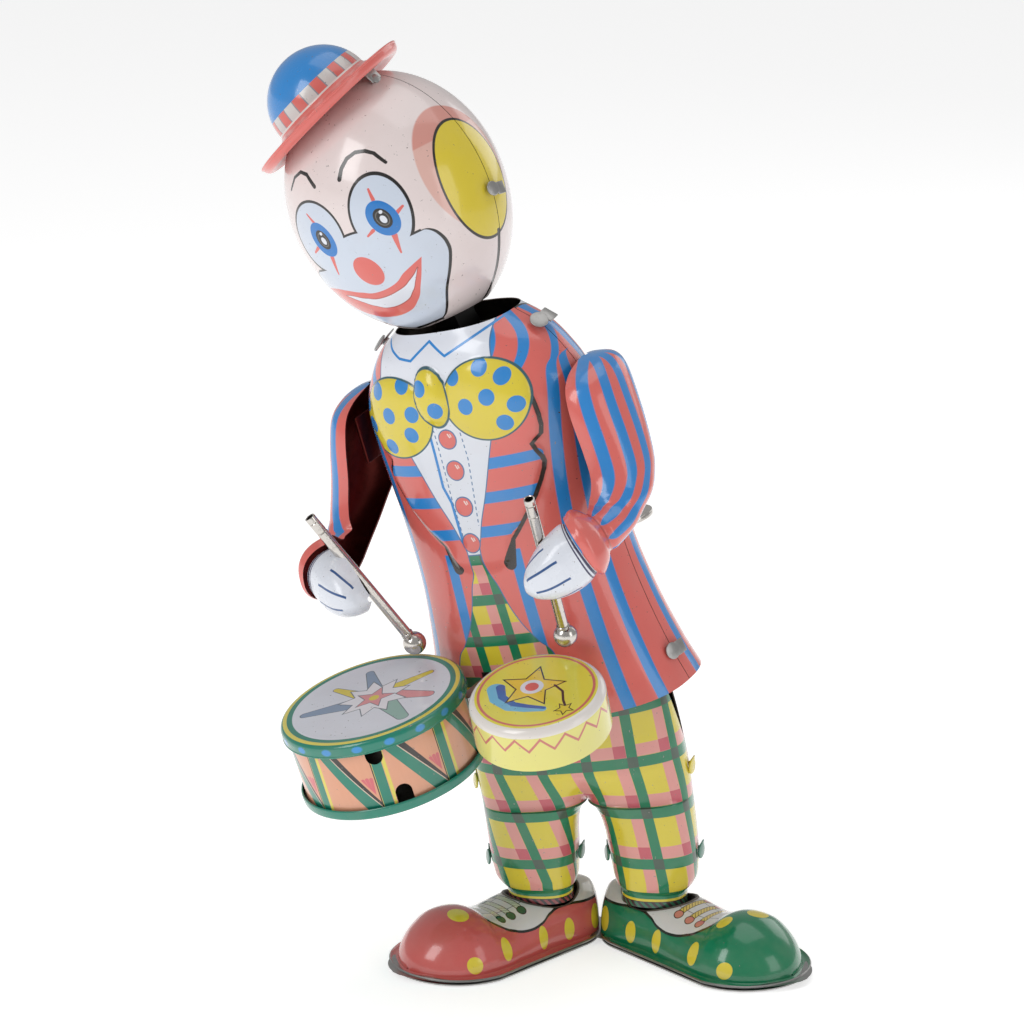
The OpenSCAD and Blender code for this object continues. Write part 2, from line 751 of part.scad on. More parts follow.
module drum_rivets() {
    color("silver") small_drum_frame() {
        translate([0, 0, -3]) cylinder(h = 2.95, r = rivet_r, $fn = 32);
        translate([0, 0, -3.1]) cylinder(h = 0.75, r = 1.8, $fn = 32);
    }
}

// ---------- Arms ----------

arm_x = 30;
// Sleeve from the shoulder to the cuff: front edge y, z, back edge y, z, bulge away from the body, edge x
sleeve_rows = [
    [-0.2, 8.2, 1.2, 8.2, 0.9, 0], [-4, 7.8, 5, 7.8, 4.4, 0], [-8.6, 6, 8.6, 6, 6.6, 0], [-11.6, 2.4, 10.4, 2.4, 8, 0],
    [-12.4, -5, 11.2, -5, 8.6, 0], [-11.4, -14, 11.4, -14, 9, 0], [-11.2, -20, 10.8, -23.5, 9.2, 0],
    [-12, -23.6, 9.6, -29.5, 9.2, 0], [-12.6, -25.4, 6, -35.5, 9, -0.3], [-13.2, -26.4, 0.2, -39.8, 8.9, -0.7],
    [-14.4, -27.2, -7, -41.6, 8.6, -1.2], [-16.2, -27.6, -13.6, -41.4, 8.4, -1.7], [-17.8, -28.1, -17.2, -40, 7.2, -2],
    [-19.2, -26.7, -18.7, -41, 8.4, -2], [-22.3, -25.9, -21.4, -40.6, 8.6, -2.2], [-24.8, -26.7, -23.9, -38.6, 7.4, -2.4]];
// Fist from the wrist to the knuckles
glove_rows = [
    [-25.2, -27.8, -24.6, -37.4, 6.4, -2.4], [-26.6, -26.1, -28.4, -37.9, 7.4, -2.6], [-28.8, -24, -33.2, -37.2, 8, -2.8],
    [-33, -22.9, -37, -35.9, 7.6, -3], [-37.4, -23.5, -39.4, -33.7, 6, -3], [-40.1, -25.2, -40.7, -31.2, 4, -3],
    [-41.2, -27.3, -41.2, -28.7, 0.9, -3]];

module arm(side) {
    torso() mirror([side < 0 ? 1 : 0, 0, 0]) translate([arm_x, 0, shoulder_z]) children();
}

// Row of an open half tube from its front edge to its back edge, bulging away from the body
function limb_ring(front, back, bulge, edge, inset) =
    let (half = norm(back - front) / 2, across = (back - front) / (2 * half), mid = (front + back) / 2)
    [for (j = [0 : 14])
        let (p = ring_point(180 * j / 14, half - inset, bulge - inset, 2.4), c = mid - across * p.x)
        [p.y + edge, c.x, c.y]];

// Grid of a limb: the small closing row at its tip moves inwards with the inset
function limb_grid(rows, inset) = [for (r = rows)
    let (front = [r[0], r[1]], back = [r[2], r[3]], turn = (back - front) / norm(back - front),
         tip = norm(back - front) > 2 ? [0, 0] : inset * (r[1] > 0 ? [turn.y, -turn.x] : [-turn.y, turn.x]))
    limb_ring(front + tip, back + tip, r[4], r[5], inset)];

module sleeve() {
    sheet(limb_grid(sleeve_rows, 0), limb_grid(sleeve_rows, tin));
}

// Plate that closes the open side of the shoulder and is fixed to its pin
module shoulder_plate() {
    difference() {
        translate([0.3, -9.6, -11]) cube([0.8, 19.2, 11.5]);
        rod_x(0, 0, -2, 4, shaft_r);
    }
}

module glove() {
    difference() {
        sheet(limb_grid(glove_rows, 0), limb_grid(glove_rows, tin));
        stick_frame() translate([0, 0, -40]) cylinder(h = 60, r = stick_r + 0.05, $fn = 32);
    }
}

module shoulder_pin() {
    rod_x(0, 0, -19, 1.2, shaft_r);
}

// Lever on the shoulder pin's inner end, pointing backwards
module arm_lever() {
    difference() {
        union() {
            rod_x(0, 0, lever_x - arm_x - 0.5, lever_x - arm_x + 0.5, 2.6);
            translate([lever_x - arm_x - 0.5, 0, -1.2]) cube([1, 9.5, 2.4]);
        }
        rod_x(0, 0, lever_x - arm_x - 2, lever_x - arm_x + 2, shaft_r);
    }
}

stick_len = 41.3;
stick_top = [2, -36.5, -15];

// Frame at the top end of the stick, with the stick running towards -Z
module stick_frame() {
    translate(stick_top) rotate([18.2, 0, 0]) rotate([0, 13, 0]) children();
}

socket = 1;

module stick() {
    stick_frame() difference() {
        translate([0, 0, -stick_len - socket + 0.02]) cylinder(h = stick_len + socket, r = stick_r, $fn = 32);
        translate([0, 0, -stick_len - 2]) cylinder(h = stick_len + 4, r = stick_r - 0.35, $fn = 32);
    }
}

module stick_ball() {
    stick_frame() translate([0, 0, -stick_len]) difference() {
        sphere(r = ball_r, $fn = 48);
        translate([0, 0, -socket]) cylinder(h = 8, r = stick_r, $fn = 32);
    }
}

// ---------- Nodes ----------

trousers_front();
trousers_back();
trouser_tabs();
shoe(-1, "indianred");  // shoe_right
shoe(1, "seagreen");  // shoe_left
sole(-1);  // sole_right
sole(1);  // sole_left
waist_crossbar();
waist_pin();
coat_front();
coat_back();
coat_tabs();
hip_plate();
motor_plate_front();
motor_plate_back();
motor_pillars();
mainspring();
shoulder_frame();
lift_yoke();
drum_bracket();
big_drum_head();
big_drum_shell();
big_drum_base();
small_drum_cap();
small_drum_base();
drum_rivets();
head_front();
head_back();
head_tabs();
hat();
hat_tabs();
neck_stem();
neck_pin();
neck_lever();
color("salmon") arm(-1) sleeve();  // sleeve_right
color("brown") arm(-1) shoulder_plate();  // shoulder_plate_right
color("white") arm(-1) glove();  // glove_right
color("silver") arm(-1) stick();  // stick_right
color("silver") arm(-1) stick_ball();  // stick_ball_right
color("silver") arm(-1) shoulder_pin();  // shoulder_pin_right
color("silver") arm(-1) arm_lever();  // arm_lever_right
color("salmon") arm(1) sleeve();  // sleeve_left
color("brown") arm(1) shoulder_plate();  // shoulder_plate_left
color("white") arm(1) glove();  // glove_left
color("silver") arm(1) stick();  // stick_left
color("silver") arm(1) stick_ball();  // stick_ball_left
color("silver") arm(1) shoulder_pin();  // shoulder_pin_left
color("silver") arm(1) arm_lever();  // arm_lever_left
winding_arbor();
great_wheel();
ratchet_wheel();
click();
key();
second_arbor();
second_wheel();
crank_arbor();
third_wheel();
crank_disc();
governor_arbor();
governor_disc();
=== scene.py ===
from math import atan2, cos, degrees, hypot, pi, radians, sin, tan

import bmesh
import bpy
import numpy as np
from mathutils import Matrix, Vector


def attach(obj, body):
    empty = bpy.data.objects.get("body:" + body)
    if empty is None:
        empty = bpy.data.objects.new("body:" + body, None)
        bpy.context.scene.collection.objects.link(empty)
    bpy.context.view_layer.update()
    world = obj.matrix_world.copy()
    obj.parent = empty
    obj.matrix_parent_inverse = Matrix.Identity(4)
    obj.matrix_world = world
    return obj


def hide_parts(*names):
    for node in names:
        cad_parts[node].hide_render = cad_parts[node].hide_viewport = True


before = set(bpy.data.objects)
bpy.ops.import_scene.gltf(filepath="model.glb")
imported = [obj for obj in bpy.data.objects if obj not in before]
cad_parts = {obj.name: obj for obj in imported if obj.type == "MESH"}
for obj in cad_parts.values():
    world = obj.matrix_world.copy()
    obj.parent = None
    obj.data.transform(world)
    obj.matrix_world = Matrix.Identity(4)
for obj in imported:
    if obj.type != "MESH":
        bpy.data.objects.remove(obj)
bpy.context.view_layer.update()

# Lengths are millimetres in each part's own upright frame. The frames below turn them into the row frame.
MM = 0.001
TIN = 0.5

# ---------- Frames, from the same driving sizes as the CAD ----------


def move(x, y, z):
    return Matrix.Translation((x, y, z))


def turn(axis, angle):
    return Matrix.Rotation(radians(angle), 4, axis)


HIP_SHIFT = 8
HIP_ROLL = 9
WAIST_Z = 66
HEAD_R = 25.5
HEAD_H = 62
HEAD_MID = 5.4 + 0.52 * HEAD_H
BIG_R = 22.5
BIG_H = 20
SMALL_R = 16
SMALL_H = 11
STICK_LEN = 41.3
STICK_R = 1.3

GROUND = move(13.302, 9.804, 0)
WAIST = GROUND @ move(-HIP_SHIFT, 0, WAIST_Z) @ turn("Z", -26)
TORSO = WAIST @ turn("Y", -13) @ turn("X", 9) @ move(0, 0, -6)
HEAD = TORSO @ move(0, 0, 93) @ turn("Y", -11)
HAT = HEAD @ move(-3.2, -3.5, HEAD_MID + 23) @ turn("Y", -19) @ turn("X", 6)
BIG_DRUM = TORSO @ move(-25.4, -42.6, 22) @ turn("X", 5.5) @ turn("Y", 3) @ move(0, 0, -BIG_H)
SMALL_DRUM = TORSO @ move(18.4, -39.9, 19.8) @ turn("X", 11) @ turn("Y", 13) @ move(0, 0, -SMALL_H)
ARM = {side: TORSO @ Matrix.Diagonal((side, 1, 1, 1)) @ move(30, 0, 80) for side in (-1, 1)}
STICK_TOP = {-1: (1.8, -36.3, -14), 1: (-1.4, -35.9, -15.4)}
STICK = {side: ARM[side] @ move(*STICK_TOP[side]) @ turn("X", 18.2) @ turn("Y", 13) for side in (-1, 1)}
SHOE = {
    -1: GROUND @ move(-14, 0, 0) @ turn("Z", -90 - 46), 1: GROUND @ move(15.2, 0, 0) @ turn("Z", -90 + 53)
}
SIDE_NAME = {-1: "right", 1: "left"}

# ---------- Printing: numbers worked out at every point of a surface ----------

tree = None


class Num:
    """A number that a material works out at every point."""

    def __init__(self, socket):
        self.socket = socket

    def __add__(self, other):
        return calc("ADD", self, other)

    __radd__ = __add__

    def __sub__(self, other):
        return calc("SUBTRACT", self, other)

    def __rsub__(self, other):
        return calc("SUBTRACT", other, self)

    def __mul__(self, other):
        return calc("MULTIPLY", self, other)

    __rmul__ = __mul__

    def __truediv__(self, other):
        return calc("DIVIDE", self, other)

    def __neg__(self):
        return calc("MULTIPLY", self, -1.0)

    def __abs__(self):
        return calc("ABSOLUTE", self)

    def __lt__(self, other):
        return calc("LESS_THAN", self, other)

    def __gt__(self, other):
        return calc("GREATER_THAN", self, other)


def plug(value, socket):
    """Links a worked-out value to a socket, or sets a plain one."""
    if isinstance(value, Num):
        tree.links.new(value.socket, socket)
    elif isinstance(value, bpy.types.NodeSocket):
        tree.links.new(value, socket)
    else:
        socket.default_value = value


def new_node(kind, *values, **settings):
    """A shader node with these settings, its first inputs set or linked."""
    node = tree.nodes.new("ShaderNode" + kind)
    for label, value in settings.items():
        setattr(node, label, value)
    for value, socket in zip(values, node.inputs):
        plug(value, socket)
    return node


def calc(operation, *values, clamp=False):
    return Num(new_node("Math", *values, operation=operation, use_clamp=clamp).outputs[0])


def ramp(value, slope, start):
    """slope * value + start, held between 0 and 1."""
    return calc("MULTIPLY_ADD", value, slope, start, clamp=True)


def reach(a, b):
    """Distance from (0, 0)."""
    return calc("SQRT", a * a + b * b)


def least(*values):
    result = values[0]
    for value in values[1:]:
        result = calc("MINIMUM", result, value)
    return result


def most(*values):
    result = values[0]
    for value in values[1:]:
        result = calc("MAXIMUM", result, value)
    return result


def repeat(value, period):
    """The value folded into 0 to period."""
    return calc("FLOORED_MODULO", value, period)


def vector(operation, *values, scale=None):
    node = new_node("VectorMath", *values, operation=operation)
    if scale is not None:
        node.inputs["Scale"].default_value = scale
    return node.outputs["Value"] if operation in ("LENGTH", "DISTANCE") else node.outputs[0]


def split(socket):
    return [Num(output) for output in new_node("SeparateXYZ", socket).outputs]


def attribute(name):
    return new_node("Attribute", attribute_name=name).outputs["Vector"]


class Page:
    """A flat page of a print: u across and v up, in millimetres. Shapes are distances, negative inside."""

    def __init__(self, u, v):
        self.point = new_node("CombineXYZ", u, v).outputs[0]

    def local(self, x, y, angle=0.0, scale=(1, 1)):
        place = ((x, y, 0), (0, 0, radians(angle)), (*scale, 1))
        return new_node("Mapping", self.point, *place, vector_type="TEXTURE").outputs[0]

    def dot(self, x, y, r):
        return Num(vector("DISTANCE", self.point, (x, y, 0))) - r

    def oval(self, x, y, rx, ry, angle=0.0):
        return (Num(vector("LENGTH", self.local(x, y, angle, (rx, ry)))) - 1) * min(rx, ry)

    def bar(self, x0, y0, x1, y1, w0, w1=None):
        """A round-ended bar between two points, w0 and w1 being half its width at each end."""
        length = max(hypot(x1 - x0, y1 - y0), 0.001)
        along, across, _ = split(self.local(x0, y0, degrees(atan2(y1 - y0, x1 - x0))))
        near = most(least(along, length), 0.0)
        over = along - near
        distance = reach(over, across)
        if w1 is None or w1 == w0:
            return distance - w0
        return distance - (near * ((w1 - w0) / length) + w0)

    def path(self, points, w0, w1=None):
        w1 = w0 if w1 is None else w1
        n = len(points) - 1
        widths = [w0 + (w1 - w0) * i / n for i in range(n + 1)]
        return least(*[self.bar(*points[i], *points[i + 1], widths[i], widths[i + 1]) for i in range(n)])

    def star(self, x, y, outer, inner, tips=5, angle=90.0):
        """A star with that many tips."""
        u, v, _ = split(self.local(x, y, angle))
        step = 2 * pi / tips
        around = abs(repeat(calc("ARCTAN2", v, u) + step / 2, step) - step / 2)
        r = reach(u, v)
        dx, dy = inner * cos(step / 2) - outer, inner * sin(step / 2)
        edge = hypot(dx, dy)
        return (calc("COSINE", around) * r - outer) * (dy / edge) - calc("SINE", around) * r * (dx / edge)


def curve(value, points):
    """A smooth curve through the points (value, result)."""
    xs = [p[0] for p in points]
    ys = [p[1] for p in points]
    x0, x1 = min(xs), max(xs)
    y0, y1 = min(ys), max(ys)
    span = max(y1 - y0, 0.001)
    node = new_node("FloatCurve")
    line = node.mapping.curves[0]
    while len(line.points) < len(points):
        line.points.new(0.5, 0.5)
    for point, x, y in zip(line.points, xs, ys):
        point.location = ((x - x0) / (x1 - x0), (y - y0) / span)
    node.mapping.update()
    plug(ramp(value, 1 / (x1 - x0), -x0 / (x1 - x0)), node.inputs["Value"])
    return Num(node.outputs[0]) * span + y0


def ink(code):
    """Linear colour of an sRGB code."""
    parts = [int(code[i : i + 2], 16) / 255 for i in (0, 2, 4)]
    return tuple(c / 12.92 if c <= 0.04045 else ((c + 0.055) / 1.055) ** 2.4 for c in parts) + (1.0,)


SALMON = ink("dd6a62")
BLUE = ink("2a86cf")
YELLOW = ink("dfcb3a")
GREEN = ink("16806a")
TROUSER_GREEN = ink("177d55")
PLAID_PINK = ink("e39a92")
PLAID_RED = ink("c95a66")
PLAID_DARK = ink("47594b")
WHITE = ink("dfe3ec")
BLACK = ink("191715")
PEACH = ink("e2a383")
SKIN = ink("e6d8d6")
MASK = ink("ccd5e3")
LINE_BLUE = ink("3f6f9e")


class Print:
    """Colours laid one over another, as in lithography."""

    def __init__(self, base):
        self.colour = base

    def add(self, distance, colour, soft=0.09):
        self.cover(ramp(distance, -1 / soft, 0.5), colour)

    def cover(self, share, colour):
        node = new_node("Mix", data_type="RGBA")
        plug(share, node.inputs["Factor"])
        plug(self.colour, node.inputs["A"])
        plug(colour, node.inputs["B"])
        self.colour = node.outputs["Result"]

    def stamp(self, distance, colour, where, sharp=9.0):
        """Adds a shape as far as where (0 to 1) lets it show."""
        self.cover(ramp(distance, -sharp, 0.5) * where, colour)

    def outline(self, distance, width, colour):
        self.add(abs(distance) - width / 2, colour)


def noise(point, scale, detail=2.0, rough=0.5):
    node = new_node("TexNoise")
    for label, value in (("Vector", point), ("Scale", scale), ("Detail", detail), ("Roughness", rough)):
        plug(value, node.inputs[label])
    return Num(node.outputs["Fac"])


def start(name):
    """An empty material: sets the tree and gives the shader."""
    global tree
    material = bpy.data.materials.new(name)
    material.use_nodes = True
    tree = material.node_tree
    return material, tree.nodes["Principled BSDF"]


def bump(shader, height, distance, strength):
    node = new_node("Bump")
    for label, value in (("Height", height), ("Distance", distance * MM), ("Strength", strength)):
        plug(value, node.inputs[label])
    tree.links.new(node.outputs[0], shader.inputs["Normal"])


def printed(name, draw, rough=0.2, chips=0.69):
    """Lithographed tinplate: ink, varnish, small chips, rubbed spots and the press's faint waves."""
    material, shader = start(name)
    picture = draw(attribute("print"))
    spot = attribute("place")
    tone = noise(spot, 0.09, 3)
    picture.cover(most(tone - 0.5, 0.0) * 0.35, ink("b9a39a"))
    dirt = noise(spot, 0.9, 4, 0.7)
    picture.cover(ramp(dirt, 9.0, -9.0 * 0.70) * 0.35, ink("4a4440"))
    chip = noise(spot, 1.15, 3, 0.65)
    bare = ramp(chip, 40.0, -40.0 * chips)
    picture.cover(bare, ink("8f8b86"))
    plug(picture.colour, shader.inputs["Base Color"])
    plug(bare * 0.9, shader.inputs["Metallic"])
    smear = noise(spot, 0.35, 4, 0.6)
    plug(smear * 0.16 + (rough - 0.07), shader.inputs["Roughness"])
    shader.inputs["Coat Weight"].default_value = 0.55
    shader.inputs["Coat Roughness"].default_value = 0.06
    waves = noise(spot, 0.11, 1) * 0.7 + noise(spot, 0.45, 1) * 0.12 - bare * 0.03 + dirt * 0.01
    bump(shader, waves, 0.55, 0.5)
    return material


def metal(name, colour, rough, mottle=0.12, scale=0.5, dark="3a3630"):
    """Bare metal with handling marks."""
    material, shader = start(name)
    spot = attribute("place")
    stain = noise(spot, scale, 5, 0.65)
    picture = Print(ink(colour))
    picture.cover(ramp(stain, 3.2, -1.7) * (mottle * 3), ink(dark))
    plug(picture.colour, shader.inputs["Base Color"])
    shader.inputs["Metallic"].default_value = 1.0
    scratch = noise(spot, 4.0, 3, 0.6)
    plug(stain * 0.18 + scratch * 0.14 + (rough - 0.14), shader.inputs["Roughness"])
    bump(shader, scratch * 0.25 + noise(spot, 0.8, 1) * 0.8, 0.09, 0.5)
    return material


def cad_metal(name, colour, rough, dark="3a3630"):
    """The same for a CAD node, which has no print: it uses its own place, in metres."""
    material, shader = start(name)
    spot = vector("SCALE", new_node("TexCoord").outputs["Object"], scale=1 / MM)
    stain = noise(spot, 0.4, 5, 0.65)
    picture = Print(ink(colour))
    picture.cover(ramp(stain, 3.0, -1.6) * 0.4, ink(dark))
    plug(picture.colour, shader.inputs["Base Color"])
    shader.inputs["Metallic"].default_value = 1.0
    scratch = noise(vector("MULTIPLY", spot, (5.0, 5.0, 0.5)), 1.0, 2, 0.6)
    plug(stain * 0.2 + scratch * 0.16 + (rough - 0.16), shader.inputs["Roughness"])
    bump(shader, scratch, 0.03, 0.4)
    return material


TINPLATE = metal("tinplate", "a9a8a6", 0.34)
INSIDE = metal("inside tin", "6f675e", 0.45, 0.3, 0.15, "2a211b")
NICKEL = metal("nickel", "cfcac4", 0.16, 0.16, 0.9, "57493a")
BLACK_STEEL = metal("black steel", "24211f", 0.42, 0.1)
BROWN_STEEL = metal("brown lacquered steel", "6d2f2a", 0.4, 0.2, 0.3, "2c1513")

# ---------- Meshes ----------


def settle(obj, sharp=38):
    """Applies the modifiers and keeps only true folds sharp."""
    depsgraph = bpy.context.evaluated_depsgraph_get()
    mesh = bpy.data.meshes.new_from_object(obj.evaluated_get(depsgraph), depsgraph=depsgraph)
    obj.modifiers.clear()
    obj.data = mesh
    mesh.name = obj.name
    mesh.shade_smooth()
    mesh.set_sharp_from_angle(angle=radians(sharp))
    return obj


def tag(mesh, label, values):
    """Stores a vector at every point, for the materials to read."""
    layer = mesh.attributes.new(label, "FLOAT_VECTOR", "POINT")
    layer.data.foreach_set("vector", np.asarray(values, dtype=np.float32).ravel())


def stand(name, data):
    """A new object in the scene."""
    obj = bpy.data.objects.new(name, data)
    bpy.context.scene.collection.objects.link(obj)
    return obj


def of_faces(mesh, label):
    values = np.empty(len(mesh.polygons) * 3, dtype=np.float32)
    mesh.polygons.foreach_get(label, values)
    return values.reshape(-1, 3)


def shell(
    name, rows, matrix, materials, closed=False, thick=TIN, prints=None, out=None, sharp=38, extra=None,
    hole=None
):
    """A sheet of tin through a grid of points. The print's outside faces away from the grid's own middle."""
    rows = np.asarray(rows, dtype=float)
    high, wide = rows.shape[:2]
    prints = rows if prints is None else np.asarray(prints, dtype=float)
    flat = rows.reshape(-1, 3)
    turned = np.array([matrix @ Vector(p) for p in flat]) * MM
    faces = []
    for i in range(high - 1):
        for j in range(wide if closed else wide - 1):
            if hole is not None and j < hole.shape[1] and hole[i, j]:
                continue
            k = (j + 1) % wide
            faces.append((i * wide + j, i * wide + k, (i + 1) * wide + k, (i + 1) * wide + j))
    mesh = bpy.data.meshes.new(name)
    mesh.from_pydata(turned.tolist(), [], faces)
    tag(mesh, "print", prints)
    tag(mesh, "place", flat)
    if extra is not None:
        tag(mesh, "wrap", extra)
    mesh.update()
    normals, centres = of_faces(mesh, "normal"), of_faces(mesh, "center")
    if out is None:
        outward = np.sum(normals * (centres - turned.mean(axis=0))) > 0
    else:
        world_out = np.array((matrix.to_3x3() @ Vector(out)).normalized())
        outward = np.sum(normals @ world_out) > 0
    if not outward:
        mesh.flip_normals()
    work = bmesh.new()
    work.from_mesh(mesh)
    bmesh.ops.remove_doubles(work, verts=work.verts, dist=0.02 * MM)
    bmesh.ops.delete(work, geom=[v for v in work.verts if not v.link_faces], context="VERTS")
    work.to_mesh(mesh)
    work.free()
    obj = stand(name, mesh)
    for material in materials:
        mesh.materials.append(material)
    if thick:
        wall = obj.modifiers.new("wall", "SOLIDIFY")
        wall.thickness = thick * MM
        wall.offset = -1
        wall.use_even_offset = True
        wall.thickness_clamp = 1.2
        if len(materials) > 1:
            wall.material_offset = 1
            wall.material_offset_rim = 1
    return settle(obj, sharp)


def lathe(profile, steps=128, start_angle=0.0, sweep=360.0):
    """Rows of a turned surface from (radius, height) pairs."""
    closed = sweep >= 360
    angles = [radians(start_angle + sweep * j / steps) for j in range(steps if closed else steps + 1)]
    return np.array([[(r * cos(a), r * sin(a), z) for a in angles] for r, z in profile])


def arc(x, z, r, angles):
    """Points of a profile on a circle round (x, z), at angles in degrees."""
    return [(x + r * cos(radians(a)), z + r * sin(radians(a))) for a in angles]


CURL = range(-90, 271, 30)


def smooth(rows, per=6):
    """Catmull-Rom rows between the given ones."""
    rows = np.asarray(rows, dtype=float)
    padded = np.concatenate([[2 * rows[0] - rows[1]], rows, [2 * rows[-1] - rows[-2]]])
    result = []
    for i in range(1, len(padded) - 2):
        a, b, c, d = padded[i - 1 : i + 3]
        for s in np.arange(per) / per:
            slow, fast = 2 * a - 5 * b + 4 * c - d, 3 * b - a - 3 * c + d
            result.append(0.5 * (2 * b + (c - a) * s + slow * s**2 + fast * s**3))
    result.append(rows[-1])
    return np.array(result)


def ring(angle, rx, ry, power):
    """Point of a superellipse at an angle in degrees."""
    c, s = cos(radians(angle)), sin(radians(angle))
    return (rx * np.sign(c) * abs(c) ** (2 / power), ry * np.sign(s) * abs(s) ** (2 / power))


def solid(name, parts, matrix, material, bevel):
    """Bevelled parts in one mesh: ("box", centre, size, matrix if turned) or ("rod", from, to, radius)."""
    work = bmesh.new()
    for kind, *values in parts:
        if kind == "box":
            centre, size = values[:2]
            extra = values[2] if len(values) > 2 else Matrix.Identity(4)
            stretched = extra @ Matrix.Translation(centre) @ Matrix.Diagonal((*size, 1))
            bmesh.ops.create_cube(work, size=1, matrix=stretched)
        else:
            a, b, r = Vector(values[0]), Vector(values[1]), values[2]
            spin = Matrix.Translation((a + b) / 2) @ (b - a).to_track_quat("Z", "Y").to_matrix().to_4x4()
            size = {"radius1": r, "radius2": r, "depth": (b - a).length}
            bmesh.ops.create_cone(work, cap_ends=True, segments=48, matrix=spin, **size)
    mesh = bpy.data.meshes.new(name)
    work.to_mesh(mesh)
    work.free()
    local = np.empty(len(mesh.vertices) * 3, dtype=np.float32)
    mesh.vertices.foreach_get("co", local)
    for label in ("print", "place"):
        tag(mesh, label, local)
    mesh.transform(Matrix.Scale(MM, 4) @ matrix)
    if matrix.determinant() < 0:
        mesh.flip_normals()
    mesh.materials.append(material)
    obj = stand(name, mesh)
    edge = obj.modifiers.new("edges", "BEVEL")
    edge.width = bevel * MM
    edge.segments = 2
    edge.limit_method = "ANGLE"
    edge.angle_limit = radians(35)
    return settle(obj, 50)


def fit(obj, body, slot, *nodes):
    """The piece moves with its body and stands for its CAD nodes, which it hides. The slot is not used."""
    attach(obj, body)
    if nodes:
        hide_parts(*nodes)
    return obj


# ---------- Prints ----------


def band(value, middle, step, width, soft=0.12):
    """Share of a stripe that repeats with the step."""
    folded = abs(repeat(value - (middle - step / 2), step) - step / 2)
    return ramp(folded - width / 2, -1 / soft, 0.5)


def plaid(u, v, first_u, first_v, step_u=10.9, step_v=12.6):
    """Yellow tartan: green lines with a pink one to their left and above them."""
    green_u, pink_u = band(u, first_u, step_u, 2.5), band(u, first_u - 2.75, step_u, 2.9)
    green_v, pink_v = band(v, first_v, step_v, 2.6), band(v, first_v + 2.8, step_v, 2.9)
    picture = Print(YELLOW)
    picture.cover(most(pink_u, pink_v), PLAID_PINK)
    picture.cover(pink_u * pink_v, PLAID_RED)
    picture.cover(most(green_u, green_v), TROUSER_GREEN)
    picture.cover(green_u * green_v, PLAID_DARK)
    return picture


# how sharply the edge of a fine printed line ends, per millimetre
CRISP = 11.0


